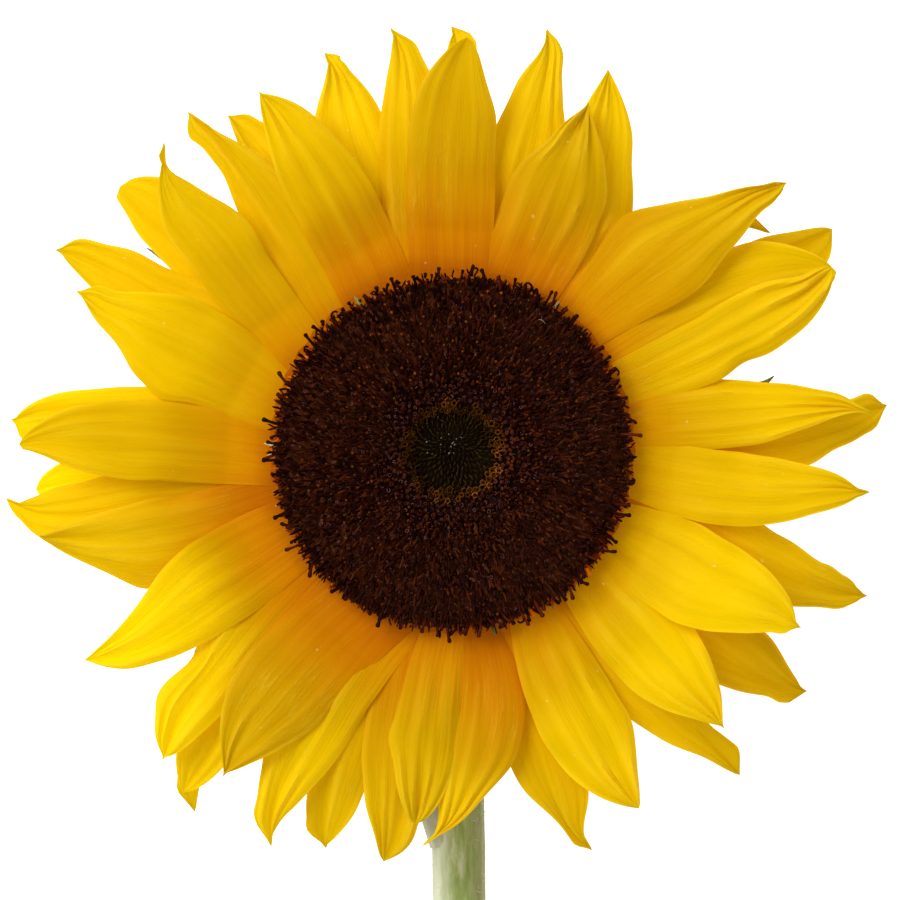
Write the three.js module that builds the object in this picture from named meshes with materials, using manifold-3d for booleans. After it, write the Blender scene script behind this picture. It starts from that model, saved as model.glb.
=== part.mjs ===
import * as THREE from "three";
import { mergeVertices } from "three/addons/utils/BufferGeometryUtils.js";
import Module from "manifold-3d";

// A cut sunflower lying on its back, in millimetres with +Z up.
// The face looks up and the stem runs along the surface towards -Y, then bends up into the head.
// Lengths are laid out round the axis of the head, and the whole flower is centred at the end.

// Driving dimensions of the head
const DISC_RADIUS = 33.2;
const EYE_RADIUS = 8.2;
const DISH_BOTTOM = 19.3;
const DISH_TOP = 33;
const DISC_CROWN = 40;
const GAP = 0.3;

// Ring that the ray petals grow from
const RING_INNER = 28.5;
const RING_OUTER = 33.2;
const RING_BOTTOM = DISH_TOP + GAP;
const RING_TOP = 35.9;

// Florets of the disc, buds of its eye and stigmas round its rim
const FLORET_ARMS = 44;
const FLORET_RINGS = 16;
const FLORET_HEIGHT = 1.6;
const BUD_ARMS = 21;
const BUD_RINGS = 9;
const BUD_HEIGHT = 0.5;
const STIGMA_COUNT = 55;
const STIGMA_REACH = 1.6;
const STIGMA_SIZE = 0.9;

// Ray petals
const PETAL_ROOT = 30;
const PETAL_THICKNESS = 0.7;
const PETAL_ROWS = 8;
const PETAL_LOWEST_ROOT = 34.1;
const PETAL_LEVEL_STEP = 0.2;
const PETAL_CUP = 0.07;
const FRONT_LEVEL = 6;
const FREE_FROM = 0.1;
const HOOK_FROM = 0.7;

// Stem
const STEM_RADIUS = 4.8;
const STEM_LENGTH = 245;
const STEM_SIDES = 14;
const NECK_BEND = 14;
const NECK_TOP_RADIUS = 6.8;
const NECK_SHARE = 0.06;
const RIB_SHARE = 0.02;
const CUT_SLANT = 0.6;

// Bracts
const BRACT_THICKNESS = 0.7;
const BRACT_ROWS = 5;

// Leaf
const LEAF_THICKNESS = 0.8;
const LEAF_WIDTH = 29;
const LEAF_TEETH = 7;
const LEAF_LOWEST = 0.9;
const STALK_RADIUS = 1.6;
const STALK_ROUTE = [[-5.1, -72, 8.2], [-6.3, -67, 8.4], [-9.5, -60.5, 6], [-14.5, -54, 3.2]];

const YELLOW = new THREE.MeshStandardMaterial({ color: 0xf2b705, roughness: 0.55, metalness: 0 });
const DARK_BROWN = new THREE.MeshStandardMaterial({ color: 0x2a0f08, roughness: 0.8, metalness: 0 });
const OLIVE = new THREE.MeshStandardMaterial({ color: 0x2b2a10, roughness: 0.8, metalness: 0 });
const STEM_GREEN = new THREE.MeshStandardMaterial({ color: 0xa3b07c, roughness: 0.7, metalness: 0 });
const LEAF_GREEN = new THREE.MeshStandardMaterial({ color: 0x5f7a3c, roughness: 0.7, metalness: 0 });

// One row for each ray petal, anticlockwise from the top as seen from above:
// bearing of the root in degrees, tip x and y, width, where it is widest (0 root, 1 tip), share of its
// width at the root, sideways bow, sideways hook of the tip, how pointed it is, and its level from
// 0 (back) to 7 (front)
const PETALS = [
  [100, -10.9, 76.3, 13, 0.5, 0.85, -0.2, 2.0, 0.8, 4],
  [90, 2.7, 74.2, 16, 0.57, 0.95, 1, -0.8, 0.68, 6],
  [86, 0.1, 77, 12, 0.5, 0.6, 0, 1.5, 0.8, 0],
  [77.5, 17.3, 76.3, 14.2, 0.5, 0.8, -0.7, 1, 1.25, 2],
  [69, 24.5, 62.5, 18, 0.5, 0.82, -1, 0, 1.25, 6],
  [59, 28.1, 68.7, 15, 0.5, 0.85, -2, 1.5, 1, 4],
  [45, 60, 48.3, 15.5, 0.42, 0.6, 2.4, 0, 1.35, 6],
  [38, 57.4, 39.1, 9, 0.4, 0.8, 0, 0, 2.2, 2],
  [31, 68.7, 40.1, 13, 0.5, 0.85, -1, 1, 0.7, 2],
  [30, 69.2, 31, 14, 0.55, 0.85, 2.5, -1, 0.6, 4],
  [21, 68.3, 32.8, 12.5, 0.6, 0.68, -1.5, 1.3, 0.6, 6],
  [9, 75.6, 6.9, 12.8, 0.42, 0.65, 0.9, -0.8, 1.3, 6],
  [2, 78.6, 8.1, 14, 0.55, 0.8, -1.5, 1, 0.8, 2],
  [355, 75, -7.1, 13.5, 0.45, 0.7, -2, 0.4, 0.85, 6],
  [345, 74.9, -26.4, 14, 0.5, 0.85, -1.5, 0, 0.9, 2],
  [334, 62.6, -31.5, 17.5, 0.46, 0.55, -0.7, 0, 0.75, 7],
  [326, 64, -43.5, 14, 0.5, 0.85, -1.8, 0.5, 0.8, 2],
  [318, 48.9, -49.7, 16.3, 0.5, 0.62, 0, 0, 0.95, 6],
  [306, 52, -58.5, 13, 0.5, 0.85, -1.2, -1.5, 0.85, 2],
  [297, 33.6, -64.2, 15.8, 0.58, 0.68, -1.4, 0.5, 0.85, 6],
  [285, 25, -72.2, 13.5, 0.5, 0.85, -0.5, 1.2, 1.1, 2],
  [277, -5.1, -71.2, 15, 0.45, 0.85, 6, 0, 1.0, 4],
  [268, -6.6, -67.1, 11.4, 0.58, 0.62, -1, -1, 0.65, 6],
  [259, -12.3, -74, 14, 0.5, 0.85, -0.5, -1.2, 0.75, 3],
  [252, -22.9, -71.7, 13, 0.52, 0.85, -1.5, 0.8, 0.8, 2],
  [250, -32.7, -71.2, 14.5, 0.5, 0.85, -2.5, 2, 0.95, 4],
  [243, -41.2, -58.4, 18, 0.5, 0.95, -2.2, 0, 0.9, 6],
  [230, -48.5, -61.6, 13, 0.5, 0.85, -1.5, 1.5, 0.75, 3],
  [234, -46.2, -64.9, 11, 0.5, 0.85, 0, 0, 0.9, 1],
  [217, -52.1, -55.6, 14, 0.55, 0.88, -2, 0.8, 0.65, 5],
  [207, -65.9, -37.5, 16.6, 0.4, 0.75, -1, -3.5, 1, 7],
  [198, -74.4, -15.4, 16, 0.5, 0.8, 3.3, -1, 1, 4],
  [188, -80.7, -8.4, 13, 0.5, 0.85, 1.5, -2.5, 0.7, 2],
  [183, -75.3, -7, 10, 0.55, 0.85, -0.5, 0, 0.5, 1],
  [182, -77.8, 1.2, 14.4, 0.52, 0.75, -1.2, 1.2, 0.6, 6],
  [170, -79.4, 5.8, 13, 0.5, 0.85, 0, 0, 0.6, 4],
  [164, -67.5, 28.6, 16.6, 0.5, 0.72, -0.4, 0, 1.1, 6],
  [151, -71.5, 36.4, 13.5, 0.5, 0.88, -0.3, 0.3, 0.75, 3],
  [144, -60, 47.8, 13, 0.6, 0.88, -1.2, 0, 0.42, 2],
  [148, -52, 55.3, 12.5, 0.5, 0.78, 1, -2.2, 0.95, 6],
  [131, -47.5, 61.1, 14, 0.38, 0.9, -2.2, 1.5, 1.8, 4],
  [124, -40.5, 60.6, 12, 0.5, 0.85, -1.8, 1, 1, 2],
  [115, -34.7, 64.6, 14.8, 0.45, 0.92, -1.2, 0.5, 0.82, 6],
  [107, -22.8, 72, 13.5, 0.5, 0.88, -0.3, 0.2, 0.85, 2],
];

// One row for each series of bracts: route in radius and height, width, and the bearings.
// The outermost ones curl down and rest their last stretch on the surface.
const INNER_BRACT = [[28, 29.4], [40, 29.8], [51, 27], [60, 21.5]];
const MIDDLE_BRACT = [[25, 26.8], [38, 26], [49, 21], [57.5, 14.5]];
const HANGING_BRACT = [[15.5, 22.3], [30, 23.2], [41.5, 15.5], [48, 6]];
const RESTING_BRACT = [[15.5, 22.3], [30, 23], [41, 12.5], [46.5, 1.2], [50, 0.2], [55, 0.2]];
const BRACT_SERIES = [
  [INNER_BRACT, 11, [13, 39, 64, 89, 117, 146, 161, 184, 207, 232, 256, 281, 305, 330, 354]],
  [MIDDLE_BRACT, 12, [1, 27, 47, 77, 104, 132, 172, 196, 220, 244, 269, 293, 318, 342]],
  [HANGING_BRACT, 12.5, [42, 90, 137, 184, 289, 313]],
  [RESTING_BRACT, 12.5, [17, 65, 114, 160, 338]],
];

const wasm = await Module();
wasm.setup();

function polar(radius, degrees, height) {
  const angle = THREE.MathUtils.degToRad(degrees);
  return new THREE.Vector3(radius * Math.cos(angle), radius * Math.sin(angle), height);
}

// Turns the faces round where they point inwards.
function facingOut(positions, indices) {
  let volume = 0;
  const corner = (index) => new THREE.Vector3().fromArray(positions, 3 * index);
  for (let i = 0; i < indices.length; i += 3) {
    volume += corner(indices[i]).dot(corner(indices[i + 1]).cross(corner(indices[i + 2])));
  }
  return volume < 0 ? [...indices].reverse() : indices;
}

function closedGeometry(points, indices) {
  const positions = points.flatMap((point) => point.toArray());
  const geometry = new THREE.BufferGeometry();
  geometry.setAttribute("position", new THREE.Float32BufferAttribute(positions, 3));
  geometry.setIndex(facingOut(positions, indices));
  return geometry;
}

function toSolid(geometry) {
  const bare = geometry.clone();
  bare.deleteAttribute("normal");
  bare.deleteAttribute("uv");
  const merged = mergeVertices(bare, 1e-4);
  const vertProperties = new Float32Array(merged.attributes.position.array);
  const triVerts = new Uint32Array(merged.index.array);
  return new wasm.Manifold(new wasm.Mesh({ numProp: 3, vertProperties, triVerts }));
}

// Joins the pieces, and keeps the outer body alone: no loose scrap and no hollow closed in by the joining.
function fuse(geometries) {
  const joined = geometries.map(toSolid).reduce((sum, solid) => sum.add(solid));
  return joined.decompose().reduce((best, body) => (body.volume() > best.volume() ? body : best));
}

function toMesh(name, solid, material) {
  const { vertProperties, triVerts } = solid.getMesh();
  const geometry = new THREE.BufferGeometry();
  geometry.setAttribute("position", new THREE.BufferAttribute(new Float32Array(vertProperties), 3));
  geometry.setIndex(new THREE.BufferAttribute(new Uint32Array(triVerts), 1));
  geometry.computeVertexNormals();
  const mesh = new THREE.Mesh(geometry, material);
  mesh.name = name;
  return mesh;
}

// A thin closed blade that ends in a point. surface(t, s) is its middle surface:
// t runs from 0 at the root to 1 at the tip, s from -1 to 1 across.
function blade(surface, rows, columns, thickness) {
  const step = 0.01;
  const faceNormal = (t, s) => {
    const before = Math.min(t, 1 - 2 * step);
    const along = surface(before + step, s).sub(surface(before, s));
    const across = surface(before, 1).sub(surface(before, -1));
    return across.cross(along).normalize();
  };
  const points = [];
  for (const side of [0.5, -0.5]) {
    for (let row = 0; row < rows; row += 1) {
      for (let column = 0; column <= columns; column += 1) {
        const t = row / rows;
        const s = (2 * column) / columns - 1;
        points.push(surface(t, s).addScaledVector(faceNormal(t, s), side * thickness));
      }
    }
    points.push(surface(1, 0).addScaledVector(faceNormal(1, 0), side * thickness));
  }
  return closedGeometry(points, bladeFaces(rows, columns));
}

// Both faces of a blade are split along the same diagonals, so that they never cross.
function bladeFaces(rows, columns) {
  const width = columns + 1;
  const under = rows * width + 1;
  const tip = rows * width;
  const faces = [];
  const quad = (a, b, c, d) => faces.push(a, b, c, a, c, d);
  for (let row = 0; row < rows - 1; row += 1) {
    const start = row * width;
    for (let column = 0; column < columns; column += 1) {
      const a = start + column;
      quad(a, a + 1, a + 1 + width, a + width);
      faces.push(a + under, a + 1 + width + under, a + 1 + under);
      faces.push(a + under, a + width + under, a + 1 + width + under);
    }
    quad(start, start + width, start + width + under, start + under);
    const end = start + columns;
    quad(end + width, end, end + under, end + width + under);
  }
  const last = (rows - 1) * width;
  for (let column = 0; column < columns; column += 1) {
    faces.push(last + column, last + column + 1, tip);
    faces.push(last + column + 1 + under, last + column + under, tip + under);
    quad(column + 1, column, column + under, column + 1 + under);
  }
  quad(last, tip, tip + under, last + under);
  quad(tip, last + columns, last + columns + under, tip + under);
  return faces;
}

// Half width of a petal or bract as a share of its greatest half width.
function spread(t, widest, base, point) {
  if (t < widest) {
    return base + (1 - base) * Math.sin((Math.PI / 2) * (t / widest));
  }
  const u = (t - widest) / (1 - widest);
  return Math.max(0, 1 - u * u) ** point;
}

function rayPetal([root, tipX, tipY, width, widest, base, bow, hook, point, level]) {
  const start = polar(PETAL_ROOT, root, 0);
  const reach = new THREE.Vector3(tipX, tipY, 0).sub(start);
  const length = reach.length();
  const left = new THREE.Vector3(-reach.y, reach.x, 0).divideScalar(length);
  const lift = level / FRONT_LEVEL;
  const rise = -0.16 + 0.48 * lift;
  const droop = 0.12 + 0.1 * lift;
  const surface = (t, s) => {
    const hooked = Math.max(0, (t - HOOK_FROM) / (1 - HOOK_FROM)) ** 2 - t;
    const sideways = 4 * t * (1 - t) * bow + hook * hooked;
    const half = (width / 2) * spread(t, widest, base, point);
    const free = Math.max(0, t - FREE_FROM);
    const height = PETAL_LOWEST_ROOT + PETAL_LEVEL_STEP * level + length * (rise * free - droop * free * free);
    const cup = 2 * PETAL_CUP * half * s * s * Math.min(1, 4 * free);
    return start.clone().addScaledVector(reach, t).addScaledVector(left, sideways - s * half)
      .setZ(height - cup);
  };
  return blade(surface, PETAL_ROWS, 2, PETAL_THICKNESS);
}

function lathe(profile, segments) {
  const outline = profile.map(([radius, height]) => new THREE.Vector2(radius, height));
  const geometry = new THREE.LatheGeometry(outline, segments);
  geometry.rotateX(Math.PI / 2);
  return geometry;
}

function petalRing() {
  const profile = [
    [RING_INNER, RING_BOTTOM],
    [RING_OUTER, RING_BOTTOM],
    [RING_OUTER, RING_TOP],
    [RING_INNER, RING_TOP],
    [RING_INNER, RING_BOTTOM],
  ];
  return lathe(profile, 48);
}

function rayPetals() {
  return fuse([petalRing(), ...PETALS.map(rayPetal)]);
}

// Height of the disc's face: highest at half its radius, lower at the rim and in the eye.
function discHeight(radius) {
  const share = radius / DISC_RADIUS;
  return DISC_CROWN - 6 * (share - 0.55) ** 2 - 0.6 * Math.max(0, 1 - radius / EYE_RADIUS);
}

// A ring of florets packed in crossing spirals, each a four-sided point raised from the face.
// Rings of corners are staggered by half a step, so the florets lie in a lattice of diamonds.
function floretFace(inner, outer, arms, rings, bump) {
  const growth = (outer / inner) ** (1 / (rings - 1));
  const points = [];
  const faces = [];
  const corner = (ring, arm) => ring * arms + (((arm % arms) + arms) % arms);
  for (let ring = 0; ring < rings; ring += 1) {
    const radius = inner * growth ** ring;
    for (let arm = 0; arm < arms; arm += 1) {
      points.push(polar(radius, ((arm + 0.5 * (ring % 2)) * 360) / arms, discHeight(radius)));
    }
  }
  for (let ring = 0; ring < rings - 2; ring += 1) {
    const radius = inner * growth ** (ring + 1);
    for (let arm = 0; arm < arms; arm += 1) {
      const outward = ring % 2;
      const near = corner(ring, arm);
      const far = corner(ring + 2, arm);
      const right = corner(ring + 1, arm - 1 + outward);
      const left = corner(ring + 1, arm + outward);
      const top = points.length;
      const angle = ((arm + 0.5 * (ring % 2)) * 360) / arms;
      points.push(polar(radius, angle, discHeight(radius) + bump * Math.sqrt(radius / outer)));
      faces.push(near, right, top, right, far, top, far, left, top, left, near, top);
    }
  }
  for (let arm = 0; arm < arms; arm += 1) {
    faces.push(corner(0, arm), corner(1, arm), corner(0, arm + 1));
    const rim = rings - 1;
    const outward = rim % 2;
    faces.push(corner(rim, arm), corner(rim, arm + 1), corner(rim - 1, arm + outward));
  }
  return { points, faces, arms, rings, corner };
}

// Closes a floret face with walls down to the given rings of points, from the inner wall to the outer one.
function closeFloretFace({ points, faces, arms, rings, corner }, profile) {
  const offsets = [(ring) => corner(0, ring)];
  for (const [radius, height, stagger] of profile) {
    const start = points.length;
    for (let arm = 0; arm < arms; arm += 1) {
      points.push(polar(radius, ((arm + stagger) * 360) / arms, height));
    }
    offsets.push((arm) => start + (arm % arms));
  }
  offsets.push((arm) => corner(rings - 1, arm));
  for (let wall = 0; wall < offsets.length - 1; wall += 1) {
    const above = offsets[wall];
    const below = offsets[wall + 1];
    for (let arm = 0; arm < arms; arm += 1) {
      faces.push(above(arm), above(arm + 1), below(arm), above(arm + 1), below(arm + 1), below(arm));
    }
  }
  return closedGeometry(points, faces);
}

// The curled stigmas that stand out all round the rim of the disc.
function rimStigma(bearing, index) {
  const tipRadius = DISC_RADIUS + STIGMA_REACH + 0.5 * Math.sin(index * 2.4);
  const rootRadius = DISC_RADIUS - 1.2;
  const rootHeight = discHeight(DISC_RADIUS) - 0.4;
  const tip = polar(tipRadius, bearing + 0.8 * Math.sin(index * 1.7), rootHeight + STIGMA_SIZE);
  const base = [
    polar(rootRadius, bearing - 1, rootHeight),
    polar(rootRadius, bearing + 1, rootHeight),
    polar(rootRadius - 0.2, bearing, rootHeight + STIGMA_SIZE),
  ];
  return closedGeometry([...base, tip], [0, 1, 2, 0, 3, 1, 1, 3, 2, 2, 3, 0]);
}

function discFlorets() {
  const stagger = 0.5 * ((FLORET_RINGS - 1) % 2);
  const inner = EYE_RADIUS + GAP;
  const face = floretFace(inner, DISC_RADIUS, FLORET_ARMS, FLORET_RINGS, FLORET_HEIGHT);
  const body = closeFloretFace(face, [
    [inner, RING_BOTTOM, 0],
    [RING_INNER - GAP, RING_BOTTOM, 0],
    [RING_INNER - GAP, RING_TOP + GAP, 0],
    [DISC_RADIUS - 1, RING_TOP + GAP, stagger],
  ]);
  const stigmas = Array.from({ length: STIGMA_COUNT }, (_, i) => rimStigma((i * 360) / STIGMA_COUNT, i));
  return fuse([body, ...stigmas]);
}

function discBuds() {
  const face = floretFace(1, EYE_RADIUS, BUD_ARMS, BUD_RINGS, BUD_HEIGHT);
  const { points, faces, arms, rings, corner } = face;
  const middle = points.length;
  points.push(new THREE.Vector3(0, 0, discHeight(0)));
  const floor = middle + 1;
  points.push(new THREE.Vector3(0, 0, RING_BOTTOM));
  const foot = points.length;
  for (let arm = 0; arm < arms; arm += 1) {
    points.push(polar(EYE_RADIUS, (arm * 360) / arms, RING_BOTTOM));
  }
  for (let arm = 0; arm < arms; arm += 1) {
    const next = (arm + 1) % arms;
    faces.push(corner(0, arm), corner(0, next), middle);
    faces.push(corner(rings - 1, next), corner(rings - 1, arm), foot + arm);
    faces.push(corner(rings - 1, next), foot + arm, foot + next);
    faces.push(foot + next, foot + arm, floor);
  }
  return fuse([closedGeometry(points, faces)]);
}

// The green dish under the disc, open to the stem at its foot.
function receptacle() {
  const profile = [
    [0, DISH_BOTTOM],
    [NECK_TOP_RADIUS, DISH_BOTTOM],
    [10.5, DISH_BOTTOM + 1.2],
    [18, DISH_BOTTOM + 3.6],
    [25.5, DISH_BOTTOM + 6.8],
    [30.5, DISH_BOTTOM + 10.4],
    [31.5, DISH_TOP],
    [0, DISH_TOP],
  ];
  return lathe(profile, 32);
}

function bract(route, width, bearing, index) {
  const curve = new THREE.SplineCurve(route.map(([radius, height]) => new THREE.Vector2(radius, height)));
  const stretch = 1 + 0.03 * Math.sin(index * 2.1);
  const surface = (t, s) => {
    const { x: radius, y: height } = curve.getPoint(t);
    const half = (width / 2) * spread(t, 0.3, 0.75, 1.25);
    const sideways = -s * half + 2 * Math.sin(index * 1.3) * t * t;
    const middle = polar(1, bearing, 0);
    const across = polar(1, bearing + 90, 0);
    return middle.multiplyScalar(radius * stretch).addScaledVector(across, sideways).setZ(height);
  };
  return blade(surface, BRACT_ROWS, 2, BRACT_THICKNESS);
}

// Everything below the surface that the flower lies on is cut away, which leaves the bracts' tips flat.
function surfaceSlab() {
  const slab = new THREE.BoxGeometry(300, 300, 20);
  slab.translate(0, 0, -10);
  return toSolid(slab);
}

function bracts() {
  const pieces = BRACT_SERIES.flatMap(([route, width, bearings], series) => (
    bearings.map((bearing, index) => bract(route, width, bearing, index + 5 * series))
  ));
  return fuse([receptacle(), ...pieces]).subtract(surfaceSlab());
}

// A round body along a curve, with its own radius at every step and flat ends.
function sweep(curve, steps, sides, radiusAt, slant = 0) {
  const points = [];
  const faces = [];
  for (let step = 0; step <= steps; step += 1) {
    const t = step / steps;
    const along = curve.getTangentAt(t);
    const across = new THREE.Vector3(1, 0, 0).addScaledVector(along, -along.x).normalize();
    const up = new THREE.Vector3().crossVectors(along, across);
    const middle = curve.getPointAt(t);
    for (let side = 0; side < sides; side += 1) {
      const angle = (2 * Math.PI * side) / sides;
      const radius = radiusAt(t, side);
      const point = middle.clone().addScaledVector(across, radius * Math.cos(angle))
        .addScaledVector(up, radius * Math.sin(angle));
      points.push(step === 0 ? point.addScaledVector(along, slant * radius * Math.cos(angle)) : point);
    }
  }
  for (let step = 0; step < steps; step += 1) {
    for (let side = 0; side < sides; side += 1) {
      const a = step * sides + side;
      const b = step * sides + ((side + 1) % sides);
      faces.push(a, b, b + sides, a, b + sides, a + sides);
    }
  }
  for (let side = 1; side < sides - 1; side += 1) {
    faces.push(0, side + 1, side);
    const end = steps * sides;
    faces.push(end, end + side, end + side + 1);
  }
  return closedGeometry(points, faces);
}

// The stem lies on its cut end, arches a little and turns up into the head.
function stemCurve() {
  const route = [
    [0.4, -STEM_LENGTH, STEM_RADIUS - 0.3],
    [0.6, -232, STEM_RADIUS - 0.2],
    [1.2, -200, STEM_RADIUS + 0.7],
    [1.6, -150, STEM_RADIUS + 2],
    [1.4, -100, STEM_RADIUS + 2.2],
    [1, -60, STEM_RADIUS + 1.1],
    [0.4, -32, STEM_RADIUS + 0.4],
    [0, -NECK_BEND, STEM_RADIUS + 0.9],
    [0, -0.32 * NECK_BEND, STEM_RADIUS + 0.35 * NECK_BEND],
    [0, 0, DISH_BOTTOM - GAP - 4],
    [0, 0, DISH_BOTTOM - GAP],
  ];
  return new THREE.CatmullRomCurve3(route.map((place) => new THREE.Vector3(...place)), false, "centripetal");
}

// A scar left where a lower leaf was stripped off.
function leafScar(x, y, z, bearing) {
  const scar = new THREE.SphereGeometry(1, 8, 6);
  scar.scale(1.3, 3.4, 2.6);
  scar.rotateY(THREE.MathUtils.degToRad(-bearing));
  scar.translate(x, y, z);
  return scar;
}

function stem() {
  const radiusAt = (t, side) => {
    const nearTop = Math.max(0, (t - 1 + NECK_SHARE) / NECK_SHARE);
    const flare = (NECK_TOP_RADIUS - STEM_RADIUS) * nearTop ** 2;
    return STEM_RADIUS * (1 + (side % 2 ? RIB_SHARE : -RIB_SHARE)) + flare;
  };
  const rod = sweep(stemCurve(), 40, STEM_SIDES, radiusAt, CUT_SLANT);
  const scars = [
    leafScar(6, -122, 7.2, 0),
    leafScar(-3.1, -168, 6.6, 180),
    leafScar(1.4, -207, 10.2, 90),
  ];
  return fuse([rod, ...scars]).subtract(surfaceSlab().translate([0, -150, 0]));
}

// The small upper leaf: its stalk leaves the stem's left side and its toothed blade lies under the bracts.
function leaf() {
  const stalkCurve = new THREE.CatmullRomCurve3(STALK_ROUTE.map((place) => new THREE.Vector3(...place)));
  const stalk = sweep(stalkCurve, 7, 8, () => STALK_RADIUS);
  const rows = 2 * LEAF_TEETH;
  const start = new THREE.Vector3(-13, -55.5, 3);
  const reach = new THREE.Vector3(-37, 35, 0);
  const left = new THREE.Vector3(-reach.y, reach.x, 0).normalize();
  const surface = (t, s) => {
    const tooth = 1 + 0.09 * (Math.round(t * rows) % 2 ? 1 : -1) * Math.min(1, 6 * t);
    const half = (LEAF_WIDTH / 2) * spread(t, 0.35, 0.1, 0.9) * tooth;
    const height = start.z - 2.2 * t + 0.6 * Math.sin(9 * t) * s * s;
    return start.clone().addScaledVector(reach, t).addScaledVector(left, -s * half)
      .setZ(Math.max(LEAF_LOWEST, height));
  };
  return fuse([stalk, blade(surface, rows, 2, LEAF_THICKNESS)]);
}

function sunflower() {
  const flower = new THREE.Group();
  flower.add(toMesh("stem", stem(), STEM_GREEN));
  flower.add(toMesh("leaf", leaf(), LEAF_GREEN));
  flower.add(toMesh("bracts", bracts(), LEAF_GREEN));
  flower.add(toMesh("ray_petals", rayPetals(), YELLOW));
  flower.add(toMesh("disc_florets", discFlorets(), DARK_BROWN));
  flower.add(toMesh("disc_buds", discBuds(), OLIVE));
  const box = new THREE.Box3().setFromObject(flower);
  const middle = box.getCenter(new THREE.Vector3());
  flower.position.set(-middle.x, -middle.y, -box.min.z);
  flower.updateMatrixWorld(true);
  return flower;
}

export default sunflower();
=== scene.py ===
"""A cut sunflower that lies on its back on a pale floor, seen from above.

Lengths are in millimetres round the axis of the flower head, which the frame places, with +Z up.
All random draws come from one seeded generator, in the order of the calls at the end.
"""

import math

import bpy
import numpy as np
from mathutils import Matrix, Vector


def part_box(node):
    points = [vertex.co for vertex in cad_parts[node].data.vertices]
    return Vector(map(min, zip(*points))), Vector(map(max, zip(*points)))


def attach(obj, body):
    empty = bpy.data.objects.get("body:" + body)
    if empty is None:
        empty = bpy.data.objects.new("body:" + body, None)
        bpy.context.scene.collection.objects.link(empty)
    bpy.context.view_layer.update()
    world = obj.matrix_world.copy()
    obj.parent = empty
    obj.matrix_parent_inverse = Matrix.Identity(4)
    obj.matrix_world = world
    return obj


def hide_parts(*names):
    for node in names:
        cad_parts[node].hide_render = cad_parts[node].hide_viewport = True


MM = 0.001
UP = np.array([0.0, 0.0, 1.0])
RNG = np.random.default_rng(11)
VECTOR_VALUES = ("grain", "tone")
SHARP_ANGLE = math.radians(60)
NEAR_AXIS = 0.05

# Driving dimensions of the head, as in the part
DISC_RADIUS = 33.2
EYE_RADIUS = 8.2
DISH_BOTTOM = 19.3
DISH_TOP = 33.0
DISC_CROWN = 40.0
BED_RADIUS = 31.6
RING_INNER = 28.5
RING_BOTTOM = 33.3
RING_TOP = 35.9
BED_BOTTOM = RING_BOTTOM + 0.05

# Ray petals
PETAL_ROOT = 30.0
PETAL_THICKNESS = 0.36
PETAL_LOWEST_ROOT = 34.1
PETAL_LEVEL_STEP = 0.2
PETAL_CUP = 0.07
PETAL_RIDGES = 6
PETAL_PLEATS = 24
NIB_SHARE = 0.045
NIB_WIDTH = 0.7
PETAL_ROWS = 60
PETAL_COLUMNS = 27

# Stem, bracts and leaf
STEM_RADIUS = 4.8
STEM_LENGTH = 245.0
STEM_HAIRS = 3000
NECK_BEND = 14.0
NECK_TOP_RADIUS = 6.8
CUT_SLANT = 0.6
CUT_OVERHANG = 2.6
SCAR_REACH = 2.6
BRACT_THICKNESS = 0.5
LEAF_THICKNESS = 0.5
LEAF_WIDTH = 28.0
LEAF_TEETH = 15
LEAF_VEINS = 7
LEAF_FOOT = (-13, -55.5, 3.0)
LEAF_REACH = (-37.0, 35.0, 0.0)
STALK_RADIUS = 1.6

GOLDEN_ANGLE = math.radians(137.508)

# The photograph looks straight down: its middle, scale and distance
CAMERA_DISTANCE = 1600.0
CAMERA_MIDDLE = (-0.36, 0.18)
PETAL_PLANE = 36.0
VIEW_WIDTH = 162.0
SENSOR_WIDTH = 36.0

# Studio, with the floor and lamps in metres and watts
FLOOR_REACH = 3.0
FLOOR_DROP = 0.0002
FLOOR_GLOW = 0.74
SKY_STRENGTH = 0.41
LAMPS = [
    ("key", (-1.0, 0.8, 1.3), 1.0, 30, (1.0, 0.99, 0.97)),
    ("fill", (1.0, -0.9, 1.5), 1.6, 7, (1.0, 1.0, 1.0)),
]

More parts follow.
